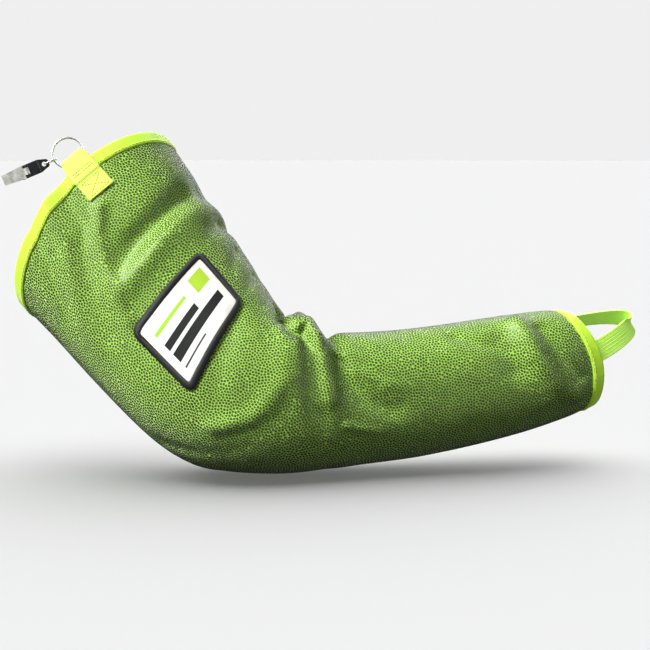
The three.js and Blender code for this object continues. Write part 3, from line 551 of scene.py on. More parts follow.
def plate_look():
    look = Look("guard_plates", (46, 56, 27), 0.45, Specular_IOR_Level=0.6)
    patch = look.noise(520, 1)
    cloud = look.noise(26, 2)
    shade = look.math("MULTIPLY_ADD", cloud, 0.4, patch)
    look.shade(shade, 0.35, 0.95, (32, 41, 18), (64, 78, 38))
    look.roughen(look.spread(patch, 0.3, 0.7, 0.38, 0.54))
    look.emboss(look.noise(2600, 2), 0.25, 0.00008)
    return look.material


def tape_look(name, deep, bright, pitch=0.8, lean=0.0, glow=0.05):
    """Woven tape or webbing of fluorescent yarn: fine ribs across, fainter threads along,
    brightened by a painted glow.
    """
    look = Look(name, bright, 0.58, Sheen_Weight=0.2, Sheen_Roughness=0.35)
    # Painted glow: emission in the tape's own colour, which brightens it as more light falling on
    # it would.
    look.glow(linear(*bright), glow)
    _, u, v = look.map_place()
    along = look.waves(look.math("MULTIPLY_ADD", v, lean, u), pitch)
    across = look.waves(v, pitch * 0.9)
    threads = look.math("MULTIPLY_ADD", across, 0.45, along)
    soil = look.noise(60, 3)
    height = look.math("MULTIPLY_ADD", soil, 0.3, threads)
    # Darker where the threads are low: painted shade between them, matching the bump, with the soil
    # noise adding random tone.
    look.shade(height, 0.1, 1.5, deep, bright)
    look.roughen(look.spread(soil, 0.3, 0.7, 0.5, 0.66))
    look.emboss(height, 0.6, 0.00022)
    return look.material


def thread_look(name, deep, bright, sheen=0.3):
    """Twisted thread."""
    look = Look(name, bright, 0.55, Sheen_Weight=sheen)
    twist = look.noise(2400, 1, stretch=(1, 1, 2.5))
    look.shade(twist, 0.35, 0.65, deep, bright)
    look.emboss(twist, 0.5, 0.00012)
    return look.material


def metal_look(name, colour, roughness, metallic, grain=(900, 900, 60)):
    look = Look(name, colour, roughness, Metallic=metallic)
    lines = look.noise(1.0, 3, stretch=grain)
    haze = look.noise(210, 3)
    wear = look.math("MULTIPLY_ADD", haze, 0.6, lines)
    look.roughen(look.spread(wear, 0.5, 1.1, roughness * 0.7, roughness * 1.5))
    dull = tuple(int(c * 0.82) for c in colour)
    look.shade(haze, 0.35, 0.65, dull, colour)
    look.emboss(lines, 0.2, 0.00005)
    return look.material


def plastic_look():
    look = Look("moulded_plastic", (24, 25, 27), 0.42)
    grain = look.noise(1500, 3)
    worn = look.noise(120, 3)
    look.shade(worn, 0.4, 0.75, (18, 19, 20), (44, 46, 48))
    look.roughen(look.spread(grain, 0.3, 0.7, 0.34, 0.55))
    look.emboss(grain, 0.35, 0.0001)
    return look.material


def label_look():
    """A plain woven label with bare stripes and a block, and no lettering."""
    look = Look("label_weave", (240, 239, 232), 0.6, Specular_IOR_Level=0.25, Sheen_Weight=0.04)
    ink = (14, 15, 16)
    _, u, v = look.map_place()
    weave = look.math("MULTIPLY", look.waves(u, 0.55), look.waves(v, 0.55))
    soil = look.noise(70, 3)
    white = look.tint(look.spread(soil, 0.35, 0.7, 0, 1), (232, 231, 224), (216, 215, 207))

    def band(value, low, high, soft=0.12):
        rise = look.spread(value, low - soft, low + soft, 0, 1)
        fall = look.spread(value, high - soft, high + soft, 1, 0)
        return look.math("MULTIPLY", rise, fall)

    def block(left, right, low, high):
        return look.math("MULTIPLY", band(u, left, right), band(v, low, high))

    colour = look.tint(block(18, 33, -20, -6), white, (160, 196, 44))
    colour = look.tint(block(-31, 8, -14.5, -11.5), colour, (150, 200, 40))
    colour = look.tint(block(-31, 10, -4, 2), colour, ink)
    colour = look.tint(block(-31, 32, 5, 13), colour, ink)
    colour = look.tint(block(-31, 0, 17.5, 19), colour, (60, 61, 62))
    look.paint(colour)
    look.emboss(look.math("MULTIPLY_ADD", soil, 0.3, weave), 0.5, 0.0002)
    return look.material


CLOTH = knit_look("mesh_knit", (116, 172, 48), (199, 246, 106))
LINING = knit_look("lining_knit", (58, 70, 54), (100, 116, 92), 0.8, 1.1)
PLATE = plate_look()
# The glow values are painted light: emission that brightens the tapes, most of all the thumb loop,
# which lies in shade.
TAPE = tape_look("binding_tape", (156, 206, 16), (202, 250, 58), glow=0.09)
WEBBING = tape_look("tab_webbing", (184, 216, 48), (222, 250, 110), 1.1)
ELASTIC = tape_look("loop_elastic", (150, 222, 50), (206, 255, 110), 1.5, glow=0.24)
THREAD = thread_look("lime_thread", (186, 214, 40), (240, 255, 130))
LABEL = label_look()
BORDER_THREAD = thread_look("border_thread", (5, 5, 6), (24, 25, 26), 0.04)
STEEL = metal_look("polished_steel", (236, 238, 240), 0.2, 0.7)
SATIN = metal_look("satin_plate", (238, 239, 230), 0.36, 0.5)
PLASTIC = plastic_look()

# Camera at the photograph's view: its frame is square.
TARGET = (0.0588, 0.0, 0.0604)
DISTANCE = 1.3
ELEVATION = math.radians(7)
camera_data = bpy.data.cameras.new("camera")
camera_data.lens = 87.8
camera_data.sensor_width = 36
camera = add_object("camera", camera_data)
camera.location = (
    TARGET[0],
    TARGET[1] - DISTANCE * math.cos(ELEVATION),
    TARGET[2] + DISTANCE * math.sin(ELEVATION),
)
camera.rotation_euler = (math.pi / 2 - ELEVATION, 0, 0)
bpy.context.scene.camera = camera

# The cloth tube: a fine outer face, and an inner face with half the columns.
TAPE_WIDTH = 9.5
TAPE_THICKNESS = 0.9
CLEARANCE = 0.3
COLUMNS = 216
SEAM_ANGLE = 128


def station_shares():
    """Places along the sleeve, closer together where it bends."""
    upper = np.linspace(-1, -0.3, 74, endpoint=False)
    bend = np.linspace(-0.3, 0.42, 140, endpoint=False)
    return np.concatenate([upper, bend, np.linspace(0.42, 1, 86)])


def cloth_grid(columns):
    angles = SEAM_ANGLE + np.arange(columns) * 360 / columns
    grid_share, grid_angle = np.meshgrid(station_shares(), angles, indexing="ij")
    return station_place(grid_share, grid_angle), grid_angle


def cloth_map(points):
    """Flat places on the cloth: round it from opposite its seam, and along it from the elbow."""
    closed = np.concatenate([points, points[:, :1]], 1)
    around = np.cumsum(np.linalg.norm(np.diff(closed, axis=1), axis=-1), 1)
    around = np.concatenate([np.zeros((len(points), 1)), around], 1)
    steps = np.linalg.norm(np.diff(closed, axis=0), axis=-1)
    along = np.concatenate([np.zeros((1, closed.shape[1])), np.cumsum(steps, 0)], 0)
    middle = np.argmin(np.abs(station_shares()))
    return np.stack([around - around[:, -1:] / 2, along - along[middle]], -1)


def make_cloth():
    s, angle = cloth_grid(COLUMNS)
    outer = raised(s, angle, 0.0)
    inner = raised(s[:, ::2], angle[:, ::2], -WALL)
    rows = len(outer)
    half = COLUMNS // 2
    flat_outer = cloth_map(outer)
    flat_inner = cloth_map(inner)
    points = np.concatenate([outer.reshape(-1, 3), inner.reshape(-1, 3)])
    start = rows * COLUMNS
    faces, corners_uv, kinds = [], [], []

    def add(corners, kind):
        faces.append([c[0] for c in corners])
        corners_uv.extend([c[1] for c in corners])
        kinds.append(kind)

    def out(i, j):
        return i * COLUMNS + j % COLUMNS, flat_outer[i, j]

    def ins(i, j):
        return start + i * half + j % half, flat_inner[i, j]

    for i in range(rows - 1):
        for j in range(COLUMNS):
            add([out(i, j), out(i + 1, j), out(i + 1, j + 1), out(i, j + 1)], 0)
        for j in range(half):
            add([ins(i, j), ins(i, j + 1), ins(i + 1, j + 1), ins(i + 1, j)], 1)
    for i, flip in ((0, 1), (rows - 1, -1)):
        for j in range(half):
            add([out(i, 2 * j), out(i, 2 * j + 1), ins(i, j)][::flip], 1)
            add([out(i, 2 * j + 1), out(i, 2 * j + 2), ins(i, j + 1), ins(i, j)][::flip], 1)
    piece = make_piece("sleeve_cloth", points, faces, CLOTH, "cloth", "sleeve_body")
    piece.data.materials.append(LINING)
    piece.data.polygons.foreach_set("material_index", np.array(kinds, np.int32))
    layer = piece.data.uv_layers.new(name="cloth")
    layer.uv.foreach_set("vector", np.array(corners_uv, np.float32).ravel())
    return face_out(piece)


# Label: its size and form, where it lies, and the threads round its edge.
LABEL_SIZE = (88, 62)
LABEL_CORNER = 8
LABEL_TAPER = 0.13
LABEL_SKEW = 0.22
LABEL_BORDER = 6
LABEL_SPOT = (-0.352 * UPPER_LENGTH, -74)
LABEL_TURN = math.radians(-18)
LABEL_GAP = 0.8
LABEL_WRAPS = 262
WRAP_SLANT = 5.5
WRAP_THREAD = 0.56


def label_axes():
    _, along, _, normal = skin_frame(*LABEL_SPOT)
    along = unit(along)
    around = unit(np.cross(normal, along))
    right = around * math.cos(LABEL_TURN) + along * math.sin(LABEL_TURN)
    up = along * math.cos(LABEL_TURN) - around * math.sin(LABEL_TURN)
    return right, up


LABEL_RIGHT, LABEL_UP = label_axes()


def label_place(x, y):
    """Wider towards the point of the elbow, and leaning with the cloth."""
    wide = y * (1 - LABEL_TAPER * x / (LABEL_SIZE[0] / 2))
    return lay_on(*LABEL_SPOT, LABEL_RIGHT, LABEL_UP, x - LABEL_SKEW * y, wide)


def on_label(x, y, height):
    s, angle = label_place(x, y)
    return raised(s, angle, LABEL_GAP + height)


def label_outline(inset, count=240):
    """A rectangle with round corners, inset from the label's outline, as evenly spaced points."""
    corner = max(LABEL_CORNER - inset, 0.5)
    x = LABEL_SIZE[0] / 2 - inset - corner
    y = LABEL_SIZE[1] / 2 - inset - corner
    turns = np.radians(np.arange(0, 91, 10))
    arcs = []
    for k, middle in enumerate([(x, y), (-x, y), (-x, -y), (x, -y)]):
        turned = turns + k * np.pi / 2
        arcs.append(middle + corner * np.stack([np.cos(turned), np.sin(turned)], 1))
    outline = np.concatenate([*arcs, arcs[0][:1]])
    reach = reach_along(outline)
    spots = np.arange(count) / count * reach[-1]
    return np.stack([np.interp(spots, reach, outline[:, k]) for k in (0, 1)], 1)


def make_label():
    rings = 26
    outline = label_outline(LABEL_BORDER - 1.2, 160)
    shares = np.arange(1, rings + 1) / rings
    flat = np.concatenate([[[0.0, 0.0]], (shares[:, None, None] * outline).reshape(-1, 2)])
    top = on_label(flat[:, 0], flat[:, 1], 0.8)
    n = len(outline)
    faces = [[0, 1 + j, 1 + (j + 1) % n] for j in range(n)]
    for i in range(rings):
        for j in range(n):
            k = (j + 1) % n
            a = 1 + i * n
            faces.append([a + j, a + n + j, a + n + k, a + k])
    under = on_label(outline[:, 0], outline[:, 1], 0.0)
    faces.append(list(range(len(flat), len(flat) + n))[::-1])
    points = np.concatenate([top, under])
    uv = np.concatenate([flat, outline])
    return face_out(make_piece("label_patch", points, faces, LABEL, "label", "label_field", uv))


def make_label_border():
    """An overlocked edge: slanting threads wrapped over a cord, right round the label."""
    count = 720
    outer = label_outline(0.5, count)
    inner = label_outline(LABEL_BORDER, count)
    core_section = [(0.04, 0.1), (0.12, 0.75), (0.5, 1.1), (0.88, 0.75), (0.96, 0.1)]
    step = 4
    core = [
        on_label(*(outer[::step] * (1 - t) + inner[::step] * t).T, height)
        for t, height in core_section
    ]
    parts = [sweep(list(np.stack(core, 1)), True)]
    t = np.linspace(0, 1, 7)
    heights = 0.15 + 1.35 * np.sin(np.pi * t) ** 0.6
    spot = (np.arange(LABEL_WRAPS)[:, None] / LABEL_WRAPS * count + t * WRAP_SLANT) % count
    low = spot.astype(int) % count
    high = (low + 1) % count
    part = (spot - np.floor(spot))[..., None]
    from_edge = mix(outer[low], outer[high], part)
    to_edge = mix(inner[low], inner[high], part)
    flat = mix(from_edge, to_edge, t[:, None])
    lines = on_label(flat[..., 0], flat[..., 1], np.broadcast_to(heights, spot.shape))
    points, faces = gather([*parts, threads(lines, WRAP_THREAD)])
    return make_piece(
        "label_overlock", points, faces, BORDER_THREAD, "label_border", "label_border"
    )


# Guard plates: spots spread evenly over the cloth, each with a small raised plate.
PLATE_PITCH = 2.65
PLATE_GAP = 0.58
PLATE_HEIGHT = 0.28
PLATE_TOP = 0.84
PLATE_SIDES = 6
PLATE_PIECES = 4


def spread_spots():
    """Places and angles of the plates, evenly spread by pushing neighbours apart."""
    s_grid, angle_grid = cloth_grid(96)
    points = skin(s_grid, angle_grid)
    closed = np.concatenate([points, points[:, :1]], 1)
    one = closed[1:, :-1] - closed[:-1, :-1]
    two = closed[:-1, 1:] - closed[:-1, :-1]
    areas = np.linalg.norm(np.cross(one, two), axis=-1)
    count = int(areas.sum() / (PLATE_PITCH**2 * 0.866))
    order = np.cumsum(areas.ravel()) / areas.sum()
    cells = np.searchsorted(order, (np.arange(count) + rng.random(count)) / count)
    i, j = np.divmod(np.clip(cells, 0, areas.size - 1), areas.shape[1])
    a, b = rng.random(count), rng.random(count)
    s = s_grid[i, j] * (1 - a) + s_grid[i + 1, j] * a
    angle = angle_grid[i, j] + b * 360 / angle_grid.shape[1]
    for _ in range(12):
        place, along, around, _ = skin_frame(s, angle)
        tree = KDTree(count)
        for k, p in enumerate(place):
            tree.insert(p, k)
        tree.balance()
        near = np.array([[m[1] for m in tree.find_n(p, 8)[1:]] for p in place])
        away = place[:, None] - place[near]
        distance = np.maximum(np.linalg.norm(away, axis=-1), 1e-6)
        push = np.maximum(PLATE_PITCH * 1.1 - distance, 0) / distance
        move = (away * push[..., None]).sum(1) * 0.3
        ds, da = walk(move, along, around)
        s = s + ds
        angle = angle + da
        arm = rim_place(ARM_RIM, angle) + TAPE_WIDTH * 0.5
        wrist = rim_place(WRIST_RIM, angle) - TAPE_WIDTH * 0.5
        s = np.clip(s, arm, wrist)
    return s, angle, near


def inside_label(s, angle):
    outline = label_outline(1.5, 120)
    ring_s, ring_angle = label_place(outline[:, 0], outline[:, 1])
    turned = (angle - LABEL_SPOT[1] + 180) % 360 - 180 + LABEL_SPOT[1]
    next_s, next_angle = np.roll(ring_s, -1), np.roll(ring_angle, -1)
    crossing = (ring_angle > turned[:, None]) != (next_angle > turned[:, None])
    edge = ring_s + (turned[:, None] - ring_angle) * (next_s - ring_s) / (next_angle - ring_angle)
    return (crossing & (s[:, None] < edge)).sum(1) % 2 == 1


def make_plates():
    s, angle, near = spread_spots()
    place, along, _, normal = skin_frame(s, angle)
    first = unit(along)
    second = np.cross(normal, first)
    away = place[near] - place[:, None]
    x = (away * first[:, None]).sum(-1)
    y = (away * second[:, None]).sum(-1)
    distance = np.maximum(np.hypot(x, y), 1e-6)
    start = np.arctan2(y[:, 0], x[:, 0]) + np.pi / PLATE_SIDES
    turns = start[:, None] + np.arange(PLATE_SIDES) * 2 * np.pi / PLATE_SIDES
    spokes = turns[..., None]
    facing = np.cos(spokes) * (x / distance)[:, None] + np.sin(spokes) * (y / distance)[:, None]
    room = np.maximum((distance - PLATE_GAP) / 2, 0.2)[:, None]
    limits = np.where(facing > 0.15, room / np.maximum(facing, 0.15), np.inf)
    radius = np.minimum(limits.min(-1), PLATE_PITCH * 0.5)
    hidden = inside_label(s, angle) | under_tab(place)
    hidden |= s < rim_place(ARM_RIM, angle) + TAPE_WIDTH + 0.6
    hidden |= s > rim_place(WRIST_RIM, angle) - TAPE_WIDTH - 0.6
    keep = np.flatnonzero(~hidden)
    rings = []
    for scale, height in ((1.0, 0.02), (PLATE_TOP, PLATE_HEIGHT)):
        across = times(radius * scale * np.cos(turns), first[:, None])
        across = across + times(radius * scale * np.sin(turns), second[:, None])
        rings.append((place + height * normal)[:, None] + across)
    whole = np.concatenate(rings, 1)
    n = PLATE_SIDES
    local = [list(range(n, 2 * n))]
    local += [[j, (j + 1) % n, (j + 1) % n + n, j + n] for j in range(n)]
    spoke = np.stack([np.cos(turns[0] - turns[0, 0]), np.sin(turns[0] - turns[0, 0])], 1)
    stamp = np.concatenate([spoke * r for r in (0.46, 0.34)])
    pieces = []
    for number, group in enumerate(np.array_split(keep, PLATE_PIECES)):
        points = whole[group].reshape(-1, 3)
        faces = [[v + m * 2 * n for v in face] for m in range(len(group)) for face in local]
        side = math.ceil(math.sqrt(len(group)))
        cell = np.stack(np.divmod(np.arange(len(group)), side), 1)
        uv = ((cell[:, None] + 0.5 + stamp) / side).reshape(-1, 2)
        name = f"guard_plates_{number + 1}"
        baked = {"uv": uv, "layer": "OFBake", "shade": False}
        pieces.append(make_piece(name, points, faces, PLATE, "cloth", **baked))
    return pieces


# Bindings: tape folded over each rim, with a row of stitches near its edge.
BINDING_STEPS = 300
STITCH_PITCH = 3.4
STITCH_RADIUS = 0.34


def make_binding(name, node, rim):
    middle = -WALL / 2
    inner = WALL / 2 + CLEARANCE
    outer = inner + TAPE_THICKNESS
    turns = np.radians(np.linspace(90, 270, 11))[1:-1]
    edge = [TAPE_WIDTH - 0.25, TAPE_WIDTH - 1.2]
    flat = np.linspace(TAPE_WIDTH - 2.4, 0, 6)
    groove = -CLEARANCE * 1.5
    outline = [
        (edge, [outer - 0.2, outer + 0.05]),
        (flat, np.full(6, outer)),
        (outer * np.cos(turns), outer * np.sin(turns)),
        (np.linspace(0, TAPE_WIDTH - 2.4, 6), np.full(6, -outer)),
        (edge[::-1], [-outer - 0.05, -outer + 0.2]),
        ([TAPE_WIDTH, groove, groove, TAPE_WIDTH], [-inner, -inner, inner, inner]),
    ]
    depth, height = (np.concatenate(column) for column in zip(*outline))
    steps = np.arange(BINDING_STEPS)
    angles = SEAM_ANGLE + steps * 360 / BINDING_STEPS
    sag = 0.25 * np.sin(steps * 2 * np.pi / 11) * (1 + np.sin(steps * 0.37))
    near_edge = smooth((depth - 2) / 5) * np.sign(height) * (np.abs(height) > inner + 0.1)
    turned, deep = np.meshgrid(angles, depth, indexing="ij")
    pull = 0.18 * sag[:, None] * near_edge
    rings = raised(rim_place(rim, turned) - rim[0] * deep, turned, middle + height + pull)
    points, faces = sweep(rings, True)
    arc = reach_along(np.stack([depth, height], 1))
    length = np.cumsum(np.linalg.norm(rings[:, 0] - np.roll(rings[:, 0], 1, 0), axis=1))
    uv = band_map(length[:, None], arc[None])
    piece = face_out(make_piece(name, points, faces, TAPE, "tape", node, uv))
    lines = []
    total = length[-1]
    number = int(total / STITCH_PITCH)
    spots = (np.arange(number)[:, None] + np.array([0.08, 0.25, 0.5, 0.75, 0.92])) / number * total
    angle = np.interp(spots, length, angles)
    for face in (1, -1):
        rise = middle + face * (outer + np.array([-0.15, 0.12, 0.2, 0.12, -0.15]))
        row = rim_place(rim, angle) - rim[0] * (TAPE_WIDTH - 2.0)
        lines.extend(raised(row, angle, rise + 0 * angle))
    seam = make_piece(f"{name}_stitches", *threads(lines, STITCH_RADIUS), THREAD, "tape")
    return piece, seam


# The webbing tab, folded over the arm rim with the ring in its fold.
TAB_ANGLE = -71.5
TAB_WIDTH = 24.5
TAB_THICKNESS = 1.2
TAB_LENGTH = 29
TAB_INNER_LENGTH = 20
TAB_GATHER = 0.88
TAB_THREAD = 0.3
RING_RADIUS = 12.6
RING_WIRE = 1.4
RING_COILS = 2
RING_START = 130
TAPE_TOP = CLEARANCE + TAPE_THICKNESS
TAPE_FOLD = WALL / 2 + CLEARANCE + TAPE_TOP
TAB_POINT, TAB_ALONG, TAB_OUT, TAB_NORMAL = rim_frame(ARM_RIM, TAB_ANGLE)


def chord_sag(rim, angle, turn):
    point, _, _, normal = rim_frame(rim, angle)
    sides = [on_rim(rim, angle + by) for by in (-turn, turn)]
    return -min(*[float((p - point) @ normal) for p in sides], 0)


TAB_OUTSIDE = TAPE_TOP + CLEARANCE + TAB_THICKNESS / 2
TAB_ON_CLOTH = CLEARANCE * 2 + TAB_THICKNESS / 2
TAB_SAG = chord_sag(ARM_RIM, TAB_ANGLE, 5)
TAB_INSIDE = -(WALL + TAPE_TOP + CLEARANCE * 3 + TAB_SAG + TAB_THICKNESS / 2)
TAB_FOLD_RADIUS = (TAB_OUTSIDE - TAB_INSIDE) / 2
TAB_MIDDLE = (TAB_OUTSIDE + TAB_INSIDE) / 2
RING_INNER = RING_RADIUS - RING_WIRE / 2
RING_OUTER = RING_RADIUS + RING_WIRE / 2
TAB_FOLD_WIDTH = min(TAB_WIDTH, RING_INNER * 2 * TAB_GATHER)
RING_CENTRE_OUT = TAPE_FOLD + CLEARANCE * 2 + RING_OUTER
RING_DROP = math.sqrt(RING_INNER**2 - (TAB_FOLD_WIDTH / 2) ** 2)
TAB_REACH = RING_CENTRE_OUT - RING_DROP + CLEARANCE * 3 + TAB_THICKNESS / 2


def on_tab(x, depth, height):
    """A place on the tab: x across it, depth below the rim, height off the cloth."""
    start = rim_place(ARM_RIM, TAB_ANGLE)
    s, angle = lay_on(start, TAB_ANGLE, TAB_ALONG, TAB_OUT, x, -np.maximum(depth, 0))
    return raised(s, angle, height) + times(np.maximum(-depth, 0), TAB_OUT)


def under_tab(place):
    offset = place - TAB_POINT
    x = offset @ TAB_ALONG
    y = offset @ TAB_OUT
    near = np.abs(offset @ TAB_NORMAL) < 12
    return near & (np.abs(x) < TAB_WIDTH / 2 + 0.4) & (y > -TAB_LENGTH - 0.6)


def tab_height(depth):
    step = smooth((depth - TAPE_WIDTH - CLEARANCE) / (TAB_THICKNESS * 2.5))
    return mix(TAB_OUTSIDE, TAB_ON_CLOTH, step)


def make_tab():
    outside = np.linspace(TAB_LENGTH, 0, 40)
    turn = np.linspace(0, 180, 19)
    fold_depth = TAB_FOLD_RADIUS - TAB_REACH
    bridge = np.linspace(0, fold_depth, 5)[1:-1]
    spoke_depth = TAB_FOLD_RADIUS * np.sin(np.radians(turn))
    spoke_height = TAB_FOLD_RADIUS * np.cos(np.radians(turn))
    path = [
        (outside, tab_height(outside), np.zeros(40)),
        (bridge, np.full(3, TAB_OUTSIDE), np.zeros(3)),
        (fold_depth - spoke_depth, TAB_MIDDLE + spoke_height, turn),
        (bridge[::-1], np.full(3, TAB_INSIDE), np.full(3, 180)),
        (np.linspace(0, TAB_INNER_LENGTH, 24), np.full(24, TAB_INSIDE), np.full(24, 180)),
    ]
    depth, height, facing = (np.concatenate(column)[:, None] for column in zip(*path))
    facing = np.radians(facing)
    columns = np.linspace(-0.5, 0.5, 21)
    thin = np.where(np.abs(columns) > 0.46, 0.72, 1.0)
    x = mix(TAB_WIDTH, TAB_FOLD_WIDTH, smooth(-depth / TAB_REACH)) * columns
    up = np.cos(facing) * TAB_THICKNESS / 2 * thin
    out = np.sin(facing) * TAB_THICKNESS / 2 * thin
    pucker = 0.1 * np.cos(columns * 14) * smooth(depth / 10)
    top = on_tab(x, depth - out, height + up + pucker)
    low = on_tab(x, depth + out, height - up + pucker)
    rings = np.concatenate([top, low[:, ::-1]], 1)
    across = np.concatenate([columns, columns[::-1]]) * TAB_WIDTH
    uv = band_map(across[None], reach_along(rings[:, 10])[:, None])
    points, faces = sweep(rings, False)
    piece = make_piece("tab_strap", points, faces, WEBBING, "webbing", "clip_tab", uv)
    return face_out(piece), make_tab_stitches()


def make_tab_stitches():
    """A box of stitches with its diagonals, and two rows beside the rim."""
    half = TAB_WIDTH / 2 - 2.6
    low, high = TAB_LENGTH - 2.4, TAPE_WIDTH + 4.2
    box = [(-half, low), (half, low), (half, high), (-half, high)]
    runs = [(box[k], box[(k + 1) % 4]) for k in range(4)]
    runs += [(box[0], box[2]), (box[1], box[3])]
    runs += [((-half, 3.0), (half, 3.0)), ((-half, 5.4), (half, 5.4))]
    spots = []
    for (x0, d0), (x1, d1) in runs:
        count = max(round(math.hypot(x1 - x0, d1 - d0) / 2.6), 2)
        t = (np.arange(count)[:, None] + np.array([0.1, 0.3, 0.5, 0.7, 0.9])) / count
        spots.append(np.stack([mix(x0, x1, t), mix(d0, d1, t)], -1))
    x, depth = np.moveaxis(np.concatenate(spots), -1, 0)
    dip = np.array([-0.2, 0.1, 0.18, 0.1, -0.2])
    lines = on_tab(x, depth, tab_height(depth) + TAB_THICKNESS / 2 + dip)
    return make_piece("tab_stitches", *threads(lines, TAB_THREAD), THREAD, "webbing")


def ring_point(angle, radius=RING_RADIUS, off=0.0):
    turn = np.radians(angle)
    centre = TAB_POINT + RING_CENTRE_OUT * TAB_OUT + TAB_MIDDLE * TAB_NORMAL
    spoke = times(np.cos(turn), TAB_OUT) - times(np.sin(turn), TAB_ALONG)
    return centre + radius * spoke + times(np.broadcast_to(off, turn.shape), TAB_NORMAL)


def make_ring():
    """A split ring: one wire wound twice, stepping over at its two ends."""
    turns = np.linspace(0, 716, 240)
    climb = smooth((turns - 340) / 40)
    off = (climb - 0.5) * RING_WIRE
    line = ring_point(turns + RING_START, off=off)
    points, faces = tube(line, RING_WIRE / 2, 12, normal=TAB_NORMAL)
    face_out(make_piece("split_ring_wire", points, faces, STEEL, "steel", "split_ring"))


# Link and clip.
LINK_LENGTH = 10.4
LINK_WIRE = 1.4
LINK_PLAY = 0.7
LINK_SPOT = 77.0
CLIP_FALL = math.radians(22.6)
LINK_AXIS = np.array([-math.cos(CLIP_FALL), 0, -math.sin(CLIP_FALL)])
LINK_FACE = np.array([0.0, -1.0, 0.0])
LINK_WIDTH = np.cross(LINK_FACE, LINK_AXIS)


def make_link():
    half_width = max(RING_WIRE * RING_COILS, 1.4) / 2 + LINK_WIRE / 2 + LINK_PLAY
    behind = RING_WIRE / 2 + LINK_PLAY + LINK_WIRE / 2
    straight = LINK_LENGTH - 2 * half_width
    middle = ring_point(np.array(LINK_SPOT)) + LINK_AXIS * (LINK_LENGTH / 2 - behind)
    turn = (np.arange(72) + 0.5) * 2 * np.pi / 72
    forth = np.sign(np.cos(turn)) * straight / 2 + half_width * np.cos(turn)
    line = middle + times(forth, LINK_AXIS)
    line = line + times(half_width * np.sin(turn), LINK_FACE)
    points, faces = tube(line, LINK_WIRE / 2, 12, closed=True, normal=LINK_WIDTH)
    face_out(make_piece("link_wire", points, faces, STEEL, "steel", "clip_link"))


def soften(node, name, material, body, bevel):
    """A copy of a CAD piece's shape with its hard edges rounded."""
    mesh = frame["nodes"][node].data.copy()
    mesh.name = name
    mesh.materials.clear()
    mesh.materials.append(material)
    piece = add_object(name, mesh)
    modifier = piece.modifiers.new("edges", "BEVEL")
    modifier.width = bevel * MM
    modifier.segments = 2
    modifier.limit_method = "ANGLE"
    modifier.angle_limit = math.radians(35)
    modifier.use_clamp_overlap = True
    depsgraph = bpy.context.evaluated_depsgraph_get()
    piece.data = bpy.data.meshes.new_from_object(piece.evaluated_get(depsgraph))
    piece.modifiers.clear()
    piece.data.polygons.foreach_set("use_smooth", np.full(len(piece.data.polygons), True))
    piece.data.set_sharp_from_angle(angle=math.radians(40))
    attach(piece, body)
    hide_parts(node)


# Thumb loop: an elastic band from inside the front of the wrist rim to its back.
LOOP_WIDTH = 19
LOOP_THICKNESS = 1.2
LOOP_REACH = 48
LOOP_LIFT = 3
LOOP_TUCK = 7
LOOP_RIBS = 7
LOOP_FRONT = -80.0
LOOP_BACK = 32.0


def band_seat(angle):
    point, along, _, _ = rim_frame(WRIST_RIM, angle)
    arc = float((on_rim(WRIST_RIM, angle + 1) - point) @ along)
    turn = LOOP_WIDTH / 2 / arc
    sag = chord_sag(WRIST_RIM, angle, turn) + chord_sag(WRIST_RIM, angle, 5)
    return -(WALL + TAPE_TOP + CLEARANCE * 4 + sag + LOOP_THICKNESS / 2)


def make_loop():
    front = rim_frame(WRIST_RIM, LOOP_FRONT)
    back = rim_frame(WRIST_RIM, LOOP_BACK)
    start = front[0] + band_seat(LOOP_FRONT) * front[3]
    end = back[0] + band_seat(LOOP_BACK) * back[3]
    handle = LOOP_REACH * 4 / 3
    lift = np.array([0, 0, LOOP_LIFT * 4 / 3])
    rise = start + handle * front[2] + lift
    fall = end + handle * back[2] + lift
    t = np.linspace(0, 1, 90)[:, None]
    line = start * (1 - t) ** 3 + 3 * rise * t * (1 - t) ** 2
    line = line + 3 * fall * t**2 * (1 - t) + end * t**3
    ahead = unit(np.gradient(line, axis=0))
    across = mix(front[1], -back[1], smooth(t))
    tuck = np.linspace(-LOOP_TUCK, 0, 8)[:-1]
    line = np.concatenate([start + times(tuck, front[2]), line, end + times(tuck[::-1], back[2])])
    ahead = np.concatenate([np.tile(front[2], (7, 1)), ahead, np.tile(-back[2], (7, 1))])
    across = np.concatenate([np.tile(front[1], (7, 1)), across, np.tile(-back[1], (7, 1))])
    across = unit(across - times((across * ahead).sum(-1), ahead))
    off = np.cross(across, ahead)
    columns = np.linspace(-0.5, 0.5, LOOP_RIBS * 6 + 1)
    ribs = np.abs(np.sin(np.pi * LOOP_RIBS * (columns + 0.5)))
    profile = LOOP_THICKNESS / 2 * (0.78 + 0.22 * ribs)
    profile[[0, -1]] = LOOP_THICKNESS * 0.2
    x = np.concatenate([columns, columns[::-1]]) * LOOP_WIDTH
    y = np.concatenate([profile, -profile[::-1]])
    rings = [line[k] + times(x, across[k]) + times(y, off[k]) for k in range(len(line))]
    points, faces = sweep(rings, False)
    uv = band_map(x[None], reach_along(line)[:, None])
    return face_out(make_piece("thumb_band", points, faces, ELASTIC, "elastic", "thumb_loop", uv))


cloth = make_cloth()
plates = make_plates()
arm_tape, arm_seam = make_binding("arm_tape", "arm_binding", ARM_RIM)
wrist_tape, wrist_seam = make_binding("wrist_tape", "wrist_binding", WRIST_RIM)
tab, tab_seam = make_tab()
make_ring()
make_link()
loop = make_loop()
label = make_label()
overlock = make_label_border()
soften("clip_base", "clip_body", PLASTIC, "sleeve", 0.25)
soften("clip_lower_jaw", "lower_jaw_plate", SATIN, "sleeve", 0.15)
soften("clip_upper_jaw", "upper_jaw_plate", SATIN, "clip_jaw", 0.12)
soften("clip_lever_pad", "lever_grip", PLASTIC, "clip_jaw", 0.12)
soften("clip_pin", "hinge_pin", STEEL, "sleeve", 0.15)

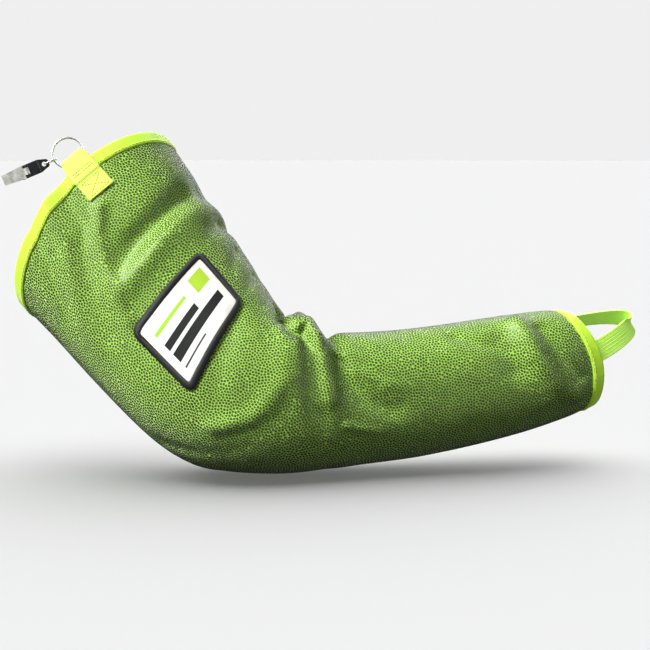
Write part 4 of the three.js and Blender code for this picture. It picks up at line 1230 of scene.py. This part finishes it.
# Studio: a round pale floor with a pale wall far round it. The object has a soft main light high
# on the left and weaker ones from the left, above, behind and the right. The floor has its own.
FLOOR_COLOUR = (223, 223, 224)
FLOOR_GLOW = 0.115
WALL_COLOUR = (239, 239, 239)
STUDIO_RADIUS = 14.0
FLOOR_LEVEL = -0.0635


def studio_mesh(name, rows, look):
    """A surface of rings of points, closed round."""
    n = len(rows[0])
    faces = [
        [i * n + j, i * n + (j + 1) % n, (i + 1) * n + (j + 1) % n, (i + 1) * n + j]
        for i in range(len(rows) - 1)
        for j in range(n)
    ]
    mesh = bpy.data.meshes.new(name)
    mesh.from_pydata([p for row in rows for p in row], [], faces)
    mesh.materials.append(look.material)
    made = add_object(name, mesh)
    made.visible_diffuse = False
    made.visible_glossy = False
    made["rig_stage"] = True
    return made


def studio_ring(radius, height):
    turns = np.linspace(0, 2 * math.pi, 96, endpoint=False)
    return [(radius * math.cos(a), radius * math.sin(a), height) for a in turns]


floor_look = Look("studio_floor", FLOOR_COLOUR, 0.95, Specular_IOR_Level=0.0)
floor_look.glow((1, 1, 1, 1), FLOOR_GLOW)
floor_look.roughen(floor_look.spread(floor_look.noise(12, 2), 0.3, 0.7, 0.9, 1.0))
floor_rows = [studio_ring(radius, FLOOR_LEVEL) for radius in (0.001, 0.3, 1, 3, 7, STUDIO_RADIUS)]
floor = studio_mesh("floor", floor_rows, floor_look)
wall_look = Look("studio_wall", (0, 0, 0), 1.0)
wall_look.glow(linear(*WALL_COLOUR), 1.0)
wall_rows = [studio_ring(STUDIO_RADIUS, height) for height in (FLOOR_LEVEL, 5, 14)]
wall = studio_mesh("wall", wall_rows, wall_look)
wall.visible_shadow = False


def add_sun(name, direction, strength, softness, lights="object"):
    """A broad soft light from far off, for the object or for the floor under it."""
    data = bpy.data.lights.new(name, "SUN")
    data.energy = strength
    data.angle = math.radians(softness)
    light = add_object(name, data)
    light.rotation_euler = Vector(direction).to_track_quat("Z", "Y").to_euler()
    light.light_linking.receiver_collection = bpy.data.collections[lights]


bpy.data.collections.new("floor").objects.link(floor)
lit = bpy.data.collections.new("object")
for made in bpy.context.scene.objects:
    if made.type == "MESH" and not made.get("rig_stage"):
        lit.objects.link(made)
add_sun("key", (-0.82, -0.52, 0.95), 6.2, 22)
add_sun("left", (-1, -0.3, 0.5), 2.2, 40)
add_sun("top", (0.15, 0.1, 1.0), 0.3, 40)
add_sun("back", (0.45, 1.0, 0.5), 2.5, 50)
add_sun("side", (0.95, -0.5, 0.2), 0.8, 50)
add_sun("floor_light", (0.0, 0.8, 1.0), 4.0, 110, "floor")

world = bpy.data.worlds.new("studio")
bpy.context.scene.world = world
world.use_nodes = True
fill(world.node_tree.nodes["Background"], Color=(1, 1, 1, 1), Strength=0.08)
bpy.context.scene.view_settings.view_transform = "Standard"
